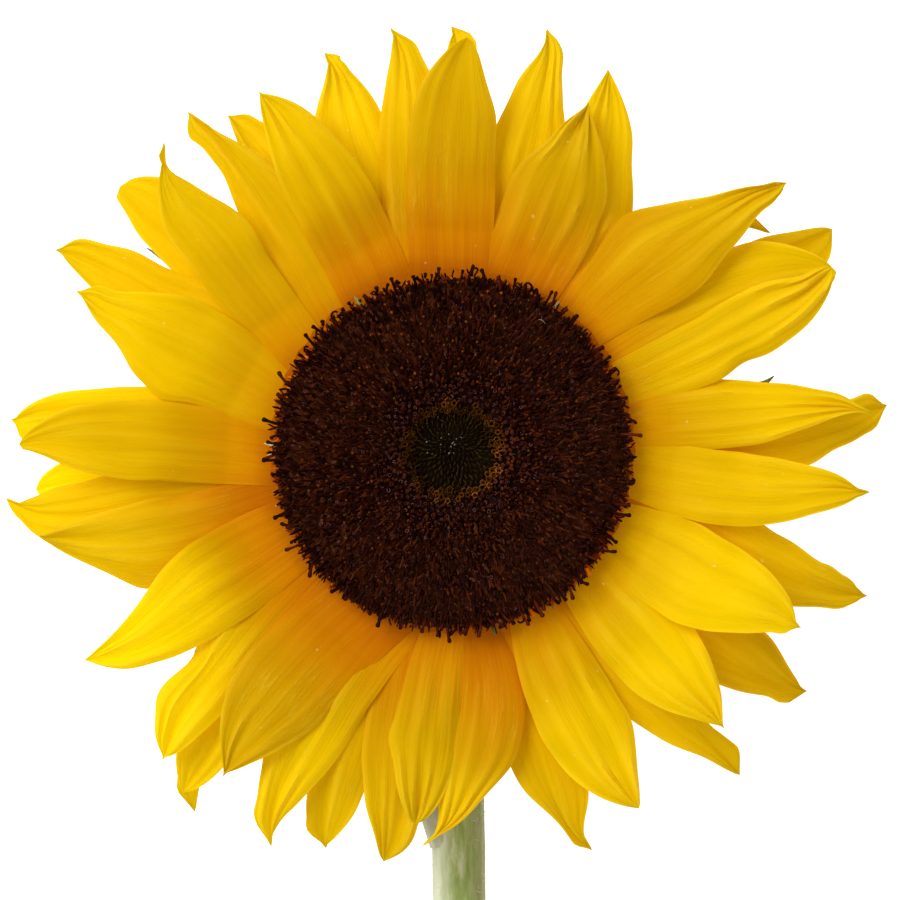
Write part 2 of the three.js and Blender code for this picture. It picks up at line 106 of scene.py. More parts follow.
# One row for each ray petal, clockwise from the top: bearing of its root in degrees anticlockwise
# from +X, tip x and y, width, where it is widest (0 root, 1 tip), share of its width at the root,
# sideways bow, sideways hook of the tip, turn of the little nib at its end, how pointed it is,
# level from 0 (back) to 7 (front), warmth of its yellow, which also paints shade on it (more is
# darker), depth of its lengthwise folds, and sideways tilt of its face
PETALS = [
    (100, -10.9, 76.3, 13, 0.5, 1, -0.2, 2, 0.7, 0.8, 4, 0.5, 0.28, 0.1),
    (90, 2.7, 74.2, 16, 0.57, 0.95, 1, -0.8, 0, 0.68, 6, 0.85, 0.1, -0.04),
    (86, 0.1, 77, 12, 0.5, 0.6, 0, 1, 0.7, 0.7, 0, 0.5, 0.1, 0.05),
    (77.5, 17.3, 76.3, 14.2, 0.5, 0.8, -0.7, 1, 0.5, 1.25, 2, 0.45, 0.28, -0.1),
    (69, 24.5, 62.5, 18, 0.5, 0.82, -1, 0, 0, 1.25, 6, 0.85, 0.45, 0.06),
    (59, 28.1, 68.7, 15, 0.5, 1, -2, 1.5, 0, 1, 4, 0.5, 0.22, -0.12),
    (45, 60, 48.3, 15.5, 0.42, 0.6, 2.4, 0, -0.6, 1.35, 6, 0.75, 0.34, 0.1),
    (38, 57.2, 40, 6, 0.4, 0.9, 0, -4, -2.6, 1, 2, 0.8, 0.1, 0),
    (31, 68.7, 40.1, 13, 0.5, 1, -1, 1, 0, 0.7, 2, 0.65, 0.18, 0.08),
    (30, 69.2, 32.3, 14, 0.55, 0.85, 2.5, -1, 0, 0.6, 4, 0.4, 0.14, -0.04),
    (21, 68.3, 32.8, 12.5, 0.6, 0.68, -1.5, 1.3, 0, 0.6, 6, 0.4, 0.45, 0.08),
    (9, 75.6, 6.9, 12.8, 0.42, 0.65, 0.9, -0.8, -0.5, 1.3, 6, 0.25, 0.34, 0.1),
    (2, 78.6, 8.1, 14, 0.55, 0.8, -1.5, 1, 0.6, 0.8, 2, 0.5, 0.16, -0.06),
    (355, 75, -7.1, 13.5, 0.45, 0.7, -2, 0.4, -0.9, 0.85, 6, 0.3, 0.24, 0.12),
    (345, 74.9, -26.4, 14, 0.5, 1, -1.5, 0, 0.8, 0.9, 2, 0.45, 0.14, -0.08),
    (334, 62.6, -31.5, 17.5, 0.46, 0.55, -0.7, 0, -0.6, 0.75, 7, -0.1, 0.2, 0.1),
    (326, 64, -43.5, 14, 0.5, 1, -1.8, 0.5, 0.5, 0.8, 2, 0.6, 0.12, 0),
    (318, 48.9, -49.7, 16.3, 0.5, 0.62, 0, 0, -0.3, 0.95, 6, 0, 0.38, 0.08),
    (306, 52, -58.5, 13, 0.5, 1, -1.2, -1.5, 0, 0.85, 2, 0.4, 0.14, 0),
    (297, 33.6, -64.2, 15.8, 0.58, 0.52, -1.4, 0.5, 0, 0.85, 5.4, 0.25, 0.46, 0.12),
    (285, 25, -72.2, 13.5, 0.5, 1, -0.5, 1.2, 1, 1.1, 2, 0.65, 0.16, 0.06),
    (277, -5.1, -71.2, 15, 0.45, 0.6, 6, 0, -1, 1, 4.3, 1, 0.36, -0.1),
    (268, -6.6, -67.1, 11.4, 0.58, 0.62, -1, -1, 0, 0.65, 5.2, 0.65, 0.34, 0.1),
    (259, -12.3, -74, 14, 0.5, 1, -0.5, -1.2, 0, 0.75, 3, 0.7, 0.28, 0.06),
    (252, -22.9, -71.7, 13, 0.52, 0.85, -1.5, 0.8, 0.4, 0.8, 2, 0.65, 0.2, 0),
    (250, -32.7, -71.2, 14.5, 0.5, 1, -2.5, 2, 0.5, 0.95, 4, 0.35, 0.28, 0.06),
    (243, -41.2, -58.4, 18, 0.5, 0.95, -2.2, 0, 0.4, 0.9, 6, 0.85, 0.16, 0.06),
    (230, -48.5, -61.6, 13, 0.5, 1, -1.5, 1.5, 0, 0.75, 3, 0.3, 0.2, 0),
    (222, -46.6, -65.3, 8, 0.5, 1, 0, 7.5, 0, 0.7, 1, 0.5, 0.12, 0),
    (217, -52.1, -55.6, 14, 0.55, 0.88, -2, 0.8, 0.4, 0.65, 5, 0.1, 0.26, 0.06),
    (207, -65.9, -37.5, 16.6, 0.4, 0.75, -1, -3.5, 0, 1, 6.6, -0.15, 0.26, 0.06),
    (198, -74.4, -15.4, 16, 0.5, 0.8, 3.3, -1, 0, 1, 4, 0.6, 0.24, -0.1),
    (188, -80.6, -8.9, 13, 0.5, 1, 1.5, -2.5, -1.2, 0.7, 2, 0.35, 0.16, 0),
    (183, -75.3, -7, 10, 0.55, 0.85, -0.5, 0, 0, 0.5, 1, -0.5, 0.12, 0),
    (182, -77.8, 1.2, 14.4, 0.52, 0.75, -1.2, 1.2, 0, 0.6, 5.3, 0.5, 0.2, -0.06),
    (170, -79.4, 5.8, 13, 0.5, 1, 0, 0, 0.4, 0.6, 4, 0.2, 0.18, 0),
    (164, -67.5, 28.6, 16.6, 0.5, 0.72, -0.4, 0, -0.4, 1.1, 6, 0.2, 0.24, 0.05),
    (151, -71.5, 36.4, 13.5, 0.5, 0.88, -0.3, 0.3, 0.5, 0.75, 3, 0.45, 0.18, 0.04),
    (144, -60, 47.8, 13, 0.6, 0.88, -1.2, 0, 0, 0.42, 2, 0.45, 0.12, 0.1),
    (148, -52, 55.3, 12.5, 0.5, 0.78, 1, -2.2, -1.2, 0.95, 6, 0.5, 0.1, 0.1),
    (131, -47.5, 61.1, 14, 0.38, 0.9, -2.2, 0.6, 0.3, 1.8, 4, 0.5, 0.28, 0.08),
    (124, -40.5, 60.6, 12, 0.5, 1, -1.8, 1, 0, 1, 2, 0.5, 0.12, 0),
    (115, -34.7, 64.6, 14.8, 0.45, 0.92, -1.2, 0.5, 0.3, 0.82, 6, 0.45, 0.28, 0.08),
    (107, -22.8, 72, 13.5, 0.5, 0.88, -0.3, 0.2, 0.9, 0.85, 2, 0.35, 0.25, 0),
]

# Where a petal's edge bulges or draws in, by the petal's number: its side (1 left, -1 right, seen
# from the root), the share of its length, millimetres outwards, and how far it reaches as a share
EDGE_CHANGES = {
    1: [(-1, 0.94, 1.3, 0.05)],
    2: [(-1, 0.86, -0.9, 0.12)],
    3: [(-1, 0.95, 2.3, 0.05), (-1, 0.985, 2, 0.02)],
    4: [(-1, 0.94, 2, 0.07), (-1, 0.72, -0.6, 0.1), (1, 0.81, 0.8, 0.08)],
    5: [(1, 0.74, -1.2, 0.09)],
    6: [(-1, 0.68, -0.7, 0.1), (-1, 0.44, 1.7, 0.11)],
    7: [(1, 0.96, 0.5, 0.04), (1, 0.72, -0.9, 0.12), (1, 0.42, 1.8, 0.12), (-1, 0.92, 1.2, 0.06),
        (-1, 0.82, 1.3, 0.15), (-1, 0.5, 1.4, 0.22)],
    8: [(1, 0.98, 3.4, 0.06), (1, 0.86, 1.4, 0.1)],
    9: [(1, 0.72, 1.3, 0.16), (-1, 0.93, 1.4, 0.06)],
    10: [(1, 0.72, 1.8, 0.22)],
    11: [(1, 0.88, -1.3, 0.09), (-1, 0.52, -1, 0.08), (-1, 0.74, -0.4, 0.12)],
    12: [(1, 0.54, -0.7, 0.16), (1, 0.88, 0.8, 0.09)],
    13: [(1, 0.94, 2.1, 0.06), (-1, 0.96, 1.6, 0.05), (-1, 0.78, -0.8, 0.06)],
    14: [(-1, 0.9, 1.1, 0.1)],
    15: [(1, 0.92, 1.4, 0.06), (1, 0.84, 0.8, 0.04), (1, 0.6, -0.6, 0.06), (-1, 0.94, 1.7, 0.06)],
    16: [(-1, 0.95, 1, 0.05)],
    17: [(1, 0.78, 1.2, 0.12), (-1, 0.95, 2, 0.045), (-1, 0.985, 2, 0.02)],
    19: [(1, 0.77, -2.3, 0.09), (1, 0.93, 0.9, 0.04), (-1, 0.86, -0.8, 0.1)],
    20: [(1, 0.85, -0.9, 0.13)],
    21: [(1, 0.8, 1.9, 0.12), (-1, 0.95, 1.4, 0.05), (-1, 0.82, -0.8, 0.1)],
    22: [(1, 0.75, -1.3, 0.13)],
    23: [(-1, 0.6, 1.2, 0.1)],
    24: [(1, 0.92, 1.1, 0.08), (-1, 0.9, -0.5, 0.08)],
    25: [(1, 0.85, 0.9, 0.12), (-1, 0.96, 2.2, 0.05), (-1, 0.88, 0.8, 0.06)],
    26: [(1, 0.9, -0.5, 0.08), (-1, 0.94, 2, 0.06), (-1, 0.74, -0.9, 0.08)],
    28: [(1, 0.88, 0.8, 0.1), (-1, 0.9, 1, 0.1)],
    29: [(-1, 0.9, 0.8, 0.06), (-1, 0.97, 1.8, 0.04)],
    30: [(-1, 0.62, -2.6, 0.11), (-1, 0.82, 0.5, 0.06), (-1, 0.94, 0.5, 0.05)],
    31: [(-1, 0.75, -0.8, 0.16), (1, 0.9, 0.8, 0.1)],
    32: [(1, 0.8, -1.1, 0.14), (1, 0.52, 0.6, 0.08), (1, 0.63, 0.5, 0.06)],
    33: [(1, 0.92, 2.2, 0.07), (1, 0.97, 0.8, 0.03), (1, 0.99, 2, 0.015), (1, 0.78, 0.6, 0.1),
        (-1, 0.82, 1.2, 0.09)],
    34: [(-1, 0.88, 0.9, 0.1)],
    35: [(1, 0.92, -1.1, 0.09)],
    36: [(1, 0.96, 2.3, 0.05), (-1, 0.6, -0.5, 0.2)],
    37: [(1, 0.5, 2.1, 0.1), (1, 0.63, 1, 0.07), (1, 0.77, -0.8, 0.1), (-1, 0.93, 1.5, 0.06)],
    38: [(-1, 0.95, 1.5, 0.07), (-1, 0.6, -1.2, 0.12)],
    39: [(1, 0.92, -0.9, 0.08), (-1, 0.86, 1.1, 0.12)],
    40: [(1, 0.965, 1, 0.02), (-1, 0.9, -0.7, 0.06), (1, 0.72, 0.6, 0.1), (-1, 0.6, 1, 0.1),
        (-1, 0.72, 0.5, 0.12)],
    41: [(-1, 0.87, -0.4, 0.11), (1, 0.92, 2.6, 0.06), (1, 0.83, 1.6, 0.08), (1, 0.66, 0.3, 0.1)],
    42: [(-1, 0.88, 1.2, 0.1), (-1, 0.96, 1, 0.04)],
    43: [(-1, 0.88, 0.5, 0.1)],
    44: [(1, 0.74, 1.9, 0.15), (-1, 0.95, 1.3, 0.04), (-1, 0.985, 2, 0.02)],
}

# What changes with the bearing round the head: rows of how much, at which bearing, and its reach
# The rows for the petals' roots and tips add warmth that also paints shade and light on them
ROOT_WARMTH_AND_SHADE = [(0.95, 209, 19), (0.25, 240, 30), (0.15, 300, 18), (-0.3, 140, 18), (0.45, 114, 6),
               (0.15, 75, 20), (-0.5, 21, 5), (-0.35, 45, 8), (0.8, 2, 3.5), (-0.4, 355, 3.5)]
TIP_WARMTH_AND_SHADE = [(0.45, 330, 42), (-0.7, 277, 5)]
EYE_GLOW = [(0.95, 345, 45), (0.55, 275, 40), (0.5, 95, 22), (0.35, 170, 14)]
EYE_RED = [(0.8, 2, 26), (0.25, 200, 30)]
RIM_SHIFT = [(0.6, 222, 38), (0.7, 312, 32), (0.3, 3, 14), (-1.0, 110, 26)]

# Rings along the little rods of the disc: share of the height, radius and share of the light
CLOSED_FLORET = [(0, 0.24, 0.4), (0.5, 0.3, 0.6), (0.74, 0.4, 0.85), (0.9, 0.33, 0.8), (1, 0.12, 0.6)]
STYLE = [(0, 0.18, 0.7), (0.35, 0.24, 0.9), (0.75, 0.26, 1.0), (1, 0.1, 0.9)]
CHAFF = [(0, 0.22, 0.5), (0.6, 0.3, 0.7), (0.88, 0.3, 1.0), (1, 0.13, 1.0)]

# Rings along a knobbed stigma of the rim: share of its length and radius
RIM_STIGMA = [(0, 0.3), (0.25, 0.28), (0.5, 0.26), (0.7, 0.25), (0.82, 0.3), (0.9, 0.4), (0.97, 0.36),
              (1, 0.16)]

# Tips of chaff at the rim: bearing, how far out they reach, width, sideways turn and colour
RIM_CHAFF = [
    (54, 33.2, 0.9, 0.3, "c8c49a"),
    (57, 32.8, 0.6, -0.3, "a8a070"),
    (122, 33.0, 0.9, 0.2, "8a8a44"),
    (178, 33.9, 0.9, -0.2, "d4cfa0"),
    (181, 33.3, 0.7, 0.2, "b8b47c"),
    (197, 33.4, 0.8, 0.2, "a8a25c"),
    (283, 34.3, 1.0, 0.2, "565c30"),
    (285, 33.6, 0.7, 0.4, "6e7040"),
    (303, 33.9, 0.9, -0.2, "6c7038"),
    (309, 33.3, 0.6, 0.2, "626030"),
]
FILAMENT = (15.6, 23.6, 40.4)

# Series of bracts as in the part: route in radius and height, width, and the bearings
BRACT_SERIES = [
    ([(28, 29.4), (40, 29.8), (51, 27), (60, 21.5)], 11,
     [11, 39, 64, 89, 117, 146, 161, 184, 207, 232, 256, 281, 305, 330, 354]),
    ([(25, 26.8), (38, 26), (49, 21), (57.5, 14.5)], 12,
     [1, 27, 47, 77, 104, 129, 172, 196, 220, 244, 269, 293, 318, 342]),
    ([(15.5, 22.3), (30, 23.2), (41.5, 15.5), (48, 6)], 12.5, [42, 90, 137, 184, 289, 313]),
    ([(15.5, 22.3), (30, 23), (41, 12.5), (46.5, 1.2), (50, 0.2), (55, 0.2)], 12.5, [17, 65, 114, 160, 338]),
]
FREE_TIP = 0
LONG_TIP = 5

# The dish's side from the neck up, in radius and height
DISH_SIDE = [(8.6, 19.9), (10.5, 20.5), (14, 21.6), (18, 22.9), (22, 24.5), (25.5, 26.1), (28.5, 28),
             (30.5, 29.7), (31.3, 31.2), (31.5, DISH_TOP - 0.2), (31.2, DISH_TOP), (NEAR_AXIS, DISH_TOP)]

STEM_ROUTE = [
    (0.4, -STEM_LENGTH, STEM_RADIUS - 0.3),
    (0.6, -232, STEM_RADIUS - 0.2),
    (1.2, -200, STEM_RADIUS + 0.7),
    (1.6, -150, STEM_RADIUS + 2),
    (1.4, -100, STEM_RADIUS + 2.2),
    (1, -60, STEM_RADIUS + 1.1),
    (0.4, -32, STEM_RADIUS + 0.4),
    (0, -NECK_BEND, STEM_RADIUS + 0.9),
    (0, -0.32 * NECK_BEND, STEM_RADIUS + 0.35 * NECK_BEND),
    (0, 0, DISH_BOTTOM - 4.3),
    (0, 0, DISH_BOTTOM + 0.6),
]
# Rings of the cut end, from its middle outwards: share of the stem's radius and depth
CUT_RINGS = [(0.04, 0.38), (0.3, 0.36), (0.6, 0.28), (0.84, 0.12), (0.93, 0.0)]
LEAF_SCARS = [(6, -122, 7.2), (-3.1, -168, 6.6), (1.4, -207, 10.2)]
STALK_ROUTE = [(-1.4, -71.5, 7.4), (-4.4, -65.6, 8.2), (-8.4, -60, 6.4), (-14, -54.3, 3.2)]


def unit(arrows):
    return arrows / np.maximum(np.linalg.norm(arrows, axis=-1, keepdims=True), 1e-9)


def vectors(*parts):
    """Vectors of three parts, which are spread to one another's size."""
    return np.stack(np.broadcast_arrays(*parts), -1)


def polar(radius, degrees, height):
    angle = np.radians(degrees)
    return vectors(radius * np.cos(angle), radius * np.sin(angle), height)


def lattice(rows, columns):
    """Shares along a blade, from 0 to 1, and across it, from -1 to 1."""
    return np.linspace(0, 1, rows)[:, None], np.linspace(-1, 1, columns)[None, :]


def left_of(reach):
    return np.array([-reach[1], reach[0], 0.0]) / np.linalg.norm(reach)


def moved(lengths, axes):
    """Steps of many lengths along one axis for each floret."""
    return lengths[..., None] * axes[:, None]


def step_up(value, start, end):
    """0 up to start, 1 from end on, and smooth between."""
    share = np.clip((value - start) / (end - start), 0, 1)
    return share * share * (3 - 2 * share)


def stay(value, start, full, falling, gone):
    """0 up to start, 1 from full to falling, and 0 again from gone on."""
    return step_up(value, start, full) * (1 - step_up(value, falling, gone))


def peak(value, reach):
    """1 where the value is 0, and small beyond its reach on either side."""
    return np.exp(-((value / reach) ** 2))


def facing(bearing, middle, reach):
    """How nearly a bearing points a given way, from 0 to 1."""
    return peak((bearing - middle + 180) % 360 - 180, reach)


def all_round(bearing, rows):
    return sum(amount * facing(bearing, middle, reach) for amount, middle, reach in rows)


def wobble(x, seed):
    """A smooth wave between about -1 and 1 that never repeats."""
    return (np.sin(x + seed * 2.1) + 0.6 * np.sin(2.3 * x + seed * 4.7) + 0.4 * np.sin(4.1 * x + seed)) / 1.6


def spline(route, count):
    """Points at even distances along a smooth curve through the route."""
    points = np.array(route, float)
    points = np.vstack([2 * points[0] - points[1], points, 2 * points[-1] - points[-2]])
    u = np.linspace(0, 1, 40, endpoint=False)[:, None]
    pieces = []
    for a, b, c, d in zip(points, points[1:], points[2:], points[3:]):
        before, here, after = (math.sqrt(math.dist(p, q)) for p, q in ((a, b), (b, c), (c, d)))
        out = here * ((b - a) / before - (c - a) / (before + here) + (c - b) / here)
        into = here * ((c - b) / here - (d - b) / (here + after) + (d - c) / after)
        square = 3 * (c - b) - 2 * out - into
        cube = 2 * (b - c) + out + into
        pieces.append(b + out * u + square * u**2 + cube * u**3)
    dense = np.vstack([*pieces, points[-2][None]])
    reached = np.append(0, np.cumsum(np.linalg.norm(np.diff(dense, axis=0), axis=1)))
    wanted = np.linspace(0, reached[-1], count)
    return np.stack([np.interp(wanted, reached, axis) for axis in dense.T], -1)


def wrapped(index):
    """Rows of point numbers, each closed to a round."""
    return np.hstack([index, index[:, :1]])


def grid_faces(index):
    """The faces between the rows and columns of a grid of point numbers."""
    corners = (index[:-1, :-1], index[:-1, 1:], index[1:, 1:], index[1:, :-1])
    return np.stack([corner.ravel() for corner in corners], -1)


def cap_faces(ring):
    """Closes a ring with an even number of points by four-cornered faces."""
    return [(ring[0], ring[i], ring[i + 1], ring[i + 2]) for i in range(1, len(ring) - 2, 2)]


def tube_faces(rings, sides):
    """The faces of a closed tube: its wall and both ends."""
    index = np.arange(rings * sides).reshape(rings, sides)
    return np.vstack([grid_faces(wrapped(index)), cap_faces(index[0][::-1]), cap_faces(index[-1])])


def lathe(profile, segments):
    """A closed round body: radius and height from the foot's middle to the top's middle."""
    turn = np.arange(segments) * 360.0 / segments
    points = np.stack([polar(radius, turn, height) for radius, height in profile])
    return points, tube_faces(len(profile), segments)


class Shape:
    """Points in millimetres round the head's axis, with four-cornered faces and values at the points."""

    def __init__(self):
        self.points, self.faces, self.values, self.count = [], [], {}, 0

    def add(self, points, faces, bodies=1, **values):
        """Adds like bodies from the faces of the first one, with each value spread to all the points."""
        shift = np.arange(bodies)[:, None, None] * (points.size // 3 // bodies)
        self.faces.append((faces + shift).reshape(-1, 4) + self.count)
        self.points.append(points.reshape(-1, 3))
        self.count += len(self.points[-1])
        for name, value in values.items():
            grid, flat = (points.shape, (-1, 3)) if name in VECTOR_VALUES else (points.shape[:-1], -1)
            self.values.setdefault(name, []).append(np.broadcast_to(value, grid).reshape(flat))

    def blade(self, middle, thickness, **values):
        """Adds a closed thin body round a grid of middle points: thickness in the middle, sharp edges."""
        rows, columns = middle.shape[:2]
        normal = unit(np.cross(np.gradient(middle, axis=1), np.gradient(middle, axis=0)))
        s = np.linspace(-1, 1, columns)[None, :, None]
        body = thickness / 2 * (1 - s**8) * normal
        body[0] = body[-1] = 0
        top = np.arange(rows * columns).reshape(rows, columns)
        under = top.copy()
        under[1:-1, 1:-1] = rows * columns + np.arange((rows - 2) * (columns - 2)).reshape(rows - 2, -1)
        faces = np.vstack([grid_faces(top), grid_faces(under)[:, ::-1]])

        def both(over, below):
            inner = below[1:-1, 1:-1]
            return np.concatenate([part.reshape(-1, *over.shape[2:]) for part in (over, inner)])

        for name, value in values.items():
            grid = np.broadcast_to(value, middle.shape if name in VECTOR_VALUES else middle.shape[:2])
            values[name] = both(grid, grid)
        self.add(both(middle + body, middle - body), faces, **values)

    def tubes(self, paths, radii, sides, aside, **values):
        """Adds closed round bodies along many paths, with their radii and a way that is off the paths."""
        count, steps = paths.shape[:2]
        radii = np.broadcast_to(radii, (count, steps))[..., None, None]
        across = unit(np.cross(unit(np.gradient(paths, axis=1)), np.broadcast_to(aside, (count, 3))[:, None]))
        up = np.cross(across, unit(np.gradient(paths, axis=1)))
        angle = (np.arange(sides) * 2 * np.pi / sides)[:, None]
        around = np.cos(angle) * across[:, :, None] + np.sin(angle) * up[:, :, None]
        self.add(paths[:, :, None] + radii * around, tube_faces(steps, sides), count, **values)

    def rods(self, foot, frame, tall, fat, tone, rings, sides=4, bend=0.0):
        """Adds rods that stand on their feet along the frame's last axis."""
        share, radius, light = np.transpose(rings)
        bends = np.broadcast_to(bend, len(foot))[:, None] * np.sin(5 * share)
        paths = foot[:, None] + moved(tall[:, None] * share, frame[2]) + moved(bends, frame[1])
        tones = tone[:, None, None] * light[:, None, None]
        self.tubes(paths, fat[:, None] * radius, sides, frame[1], tone=tones)

    def piece(self, name, node, material):
        points = np.vstack(self.points)
        points[:, 2] = np.maximum(points[:, 2], 0.0)
        mesh = bpy.data.meshes.new(name)
        mesh.from_pydata(((points + HEAD) * MM).tolist(), [], np.vstack(self.faces).tolist())
        for key, parts in self.values.items():
            kind, field = ("FLOAT_VECTOR", "vector") if key in VECTOR_VALUES else ("FLOAT", "value")
            layer = mesh.attributes.new(key, kind, "POINT")
            layer.data.foreach_set(field, np.concatenate(parts).astype(np.float32).ravel())
        mesh.shade_smooth()
        mesh.set_sharp_from_angle(angle=SHARP_ANGLE)
        mesh.materials.append(material)
        made = linked(name, mesh)
        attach(made, "root")
        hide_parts(node)


def linked(name, data):
    """A new object of the scene."""
    made = bpy.data.objects.new(name, data)
    bpy.context.scene.collection.objects.link(made)
    return made


def colour(code):
    """A display colour such as ffd810 as linear red, green, blue."""
    shares = [int(code[i:i + 2], 16) / 255 for i in (0, 2, 4)]
    return np.array([c / 12.92 if c <= 0.04045 else ((c + 0.055) / 1.055) ** 2.4 for c in shares])


class Graph:
    """A material's nodes, with the place on the object in millimetres."""

    def __init__(self, name):
        self.material = bpy.data.materials.new(name)
        self.material.use_nodes = True
        self.tree = self.material.node_tree
        self.tree.nodes.clear()
        self.place = self.stretch(self.node("TexCoord").outputs["Object"], (1 / MM, 1 / MM, 1 / MM))

    def node(self, kind, inputs=(), **settings):
        made = self.tree.nodes.new("ShaderNode" + kind)
        for key, value in settings.items():
            setattr(made, key, value)
        for key, value in dict(inputs).items():
            if isinstance(value, bpy.types.NodeSocket):
                self.tree.links.new(value, made.inputs[key])
            else:
                made.inputs[key].default_value = value
        return made

    def value(self, name, output="Fac"):
        return self.node("Attribute", attribute_name=name).outputs[output]

    def stretch(self, vector, scale):
        return self.node("VectorMath", {0: vector, 1: scale}, operation="MULTIPLY").outputs[0]

    def math(self, operation, *terms):
        whole = terms[0]
        for term in terms[1:]:
            whole = self.node("Math", {0: whole, 1: term}, operation=operation).outputs[0]
        return whole

    def add(self, *terms):
        return self.math("ADD", *terms)

    def times(self, *terms):
        return self.math("MULTIPLY", *terms)

    def noise(self, vector, scale, detail=3.0, roughness=0.5):
        inputs = {"Vector": vector, "Scale": scale, "Detail": detail, "Roughness": roughness}
        return self.node("TexNoise", inputs).outputs["Fac"]

    def swing(self, noise, amount):
        """Noise as a change between -amount / 2 and amount / 2."""
        return self.times(self.math("SUBTRACT", noise, 0.5), amount)

    def ramp(self, factor, stops):
        made = self.node("ValToRGB", {"Fac": factor})
        elements = made.color_ramp.elements
        while len(elements) < len(stops):
            elements.new(0.5)
        for element, (place, code) in zip(elements, stops):
            element.position = place
            element.color = (*colour(code), 1)
        return made.outputs["Color"]

    def mix(self, factor, first, second, blend="MIX"):
        """Two colours, each a socket or a code, mixed by a factor."""
        coloured = [c if isinstance(c, bpy.types.NodeSocket) else (*colour(c), 1) for c in (first, second)]
        inputs = {0: factor, 6: coloured[0], 7: coloured[1]}
        return self.node("Mix", inputs, data_type="RGBA", blend_type=blend).outputs[2]

    def range(self, value, low, high, to_low=0.0, to_high=1.0):
        inputs = {"Value": value, "From Min": low, "From Max": high, "To Min": to_low, "To Max": to_high}
        return self.node("MapRange", inputs).outputs[0]

    def bump(self, height, depth):
        return self.node("Bump", {"Height": height, "Distance": depth * MM}).outputs["Normal"]

    def finish(self, base, rough, normal, specular, glow=0.0, sheen=0.0, lit=0.0, lit_colour=None):
        """The surface: glow lets light through where the piece is thin, and lit is light that the surface
        gives off itself: a painted glow on the petals, the light-table glow on the floor.
        """
        inputs = {"Base Color": base, "Roughness": rough, "Normal": normal,
                  "Specular IOR Level": specular, "Sheen Weight": sheen}
        if lit:
            inputs |= {"Emission Color": lit_colour or base, "Emission Strength": lit}
        surface = self.node("BsdfPrincipled", inputs).outputs[0]
        if glow:
            thin = self.node("BsdfTranslucent", {"Color": base, "Normal": normal}).outputs[0]
            surface = self.node("MixShader", {0: glow, 1: surface, 2: thin}).outputs[0]
        self.node("OutputMaterial", {"Surface": surface})
        return self.material


def petal_material():
    """Amber at the root and lemon yellow towards the tip, with fine lengthwise veins, painted highlights on
    the ridges, crinkles and edges, painted shade in the valleys, at the roots under the disc and on warm
    petals, and a painted glow.
    """
    g = Graph("petal")
    grain = g.value("grain", "Vector")
    along, warmth_and_shade, ridge_shading, edge = (g.value(name) for name in ("along", "warmth_and_shade", "ridge_shading", "edge"))
    veins = g.noise(g.stretch(grain, (1.0, 0.035, 1.0)), 1.3, 3.0, 0.6)
    streaks = g.noise(g.stretch(grain, (0.32, 0.02, 1.0)), 1.0, 2.0)
    patches = g.noise(g.place, 0.09, 2.0)
    uneven = g.add(g.swing(veins, 0.14), g.swing(streaks, 0.2), g.swing(patches, 0.12))
    tone = g.add(g.times(g.math("POWER", along, 0.7), 0.75), uneven, 0.23)
    tone = g.add(tone, g.times(warmth_and_shade, -0.31), g.range(along, 0.12, 0.5, -0.03, 0.0))
    base = g.ramp(tone, [(0.0, "d07800"), (0.15, "dc8e00"), (0.24, "e09c00"), (0.38, "e0ac00"),
                         (0.54, "e6c000"), (0.68, "eece00"), (0.85, "f2d800"), (1.0, "f6e000")])
    # Painted shade: warm petals darken towards deep amber along their length
    base = g.mix(g.times(warmth_and_shade, along, 0.45), base, "a06800")
    crinkles = g.noise(g.stretch(grain, (0.9, 0.11, 1.0)), 1.7, 4.0, 0.65)
    crinkled = g.range(g.noise(g.place, 0.055, 1.0), 0.5, 0.62)
    crinkles = g.times(g.range(crinkles, 0.52, 0.72), crinkled)
    # Painted highlights on the crinkles
    base = g.mix(g.times(crinkles, 0.2), base, "ffe840")
    # Painted shade in the valleys of the folds and painted highlights on their ridges
    base = g.mix(g.range(ridge_shading, 0.0, -0.5, 0.0, 0.12), base, "785000")
    base = g.mix(g.range(ridge_shading, 0.0, 1.4, 0.0, 0.3), base, "ffe430")
    # Painted highlight along the edges, from halfway to the tip
    rim = g.times(g.range(edge, 0.86, 1.0, 0.0, 0.4), g.range(along, 0.45, 0.8))
    base = g.mix(rim, base, "ffe430")
    # Painted shadow of the disc on the petals' roots: deep orange just beyond the rim, strongest on warm
    # petals
    root = g.times(g.range(along, 0.05, 0.12, 0.55, 0.0), g.range(warmth_and_shade, 0.0, 0.8, 0.25, 1.0))
    base = g.mix(root, base, "b86200")
    fine = g.noise(g.place, 3.5, 4.0, 0.7)
    specks = g.range(g.noise(g.place, 0.8, 1.0), 0.79, 0.81)
    base = g.mix(g.times(specks, 0.3), base, "fff0a0")
    height = g.add(veins, g.times(fine, 0.12), g.times(crinkles, 0.4))
    # Painted glow: the petals give off a little light of their own colour, which lifts their shade
    return g.finish(base, g.range(fine, 0.3, 0.7, 0.42, 0.56), g.bump(height, 0.2), 0.03, glow=0.42, lit=0.2)


def green_material(name, light, middle, dark, dry, glow):
    """Hairy green skin: pale veins, darker blotches, and dry brown where the value dry is high."""
    g = Graph(name)
    fibres = g.noise(g.stretch(g.value("grain", "Vector"), (2.2, 0.1, 1.0)), 1.0, 3.0, 0.6)
    blotches = g.noise(g.place, 0.25, 4.0, 0.6)
    fine = g.noise(g.place, 4.0, 4.0, 0.7)
    tone = g.add(g.times(blotches, 0.6), g.times(fibres, 0.4))
    base = g.ramp(tone, [(0.32, dark), (0.5, middle), (0.7, light)])
    base = g.mix(g.times(g.value("vein"), 0.7), base, light)
    base = g.mix(g.value("dry"), base, dry)
    height = g.add(fibres, g.times(fine, 0.5))
    return g.finish(base, g.range(fine, 0.3, 0.7, 0.55, 0.75), g.bump(height, 0.14), 0.25, glow, sheen=0.15)


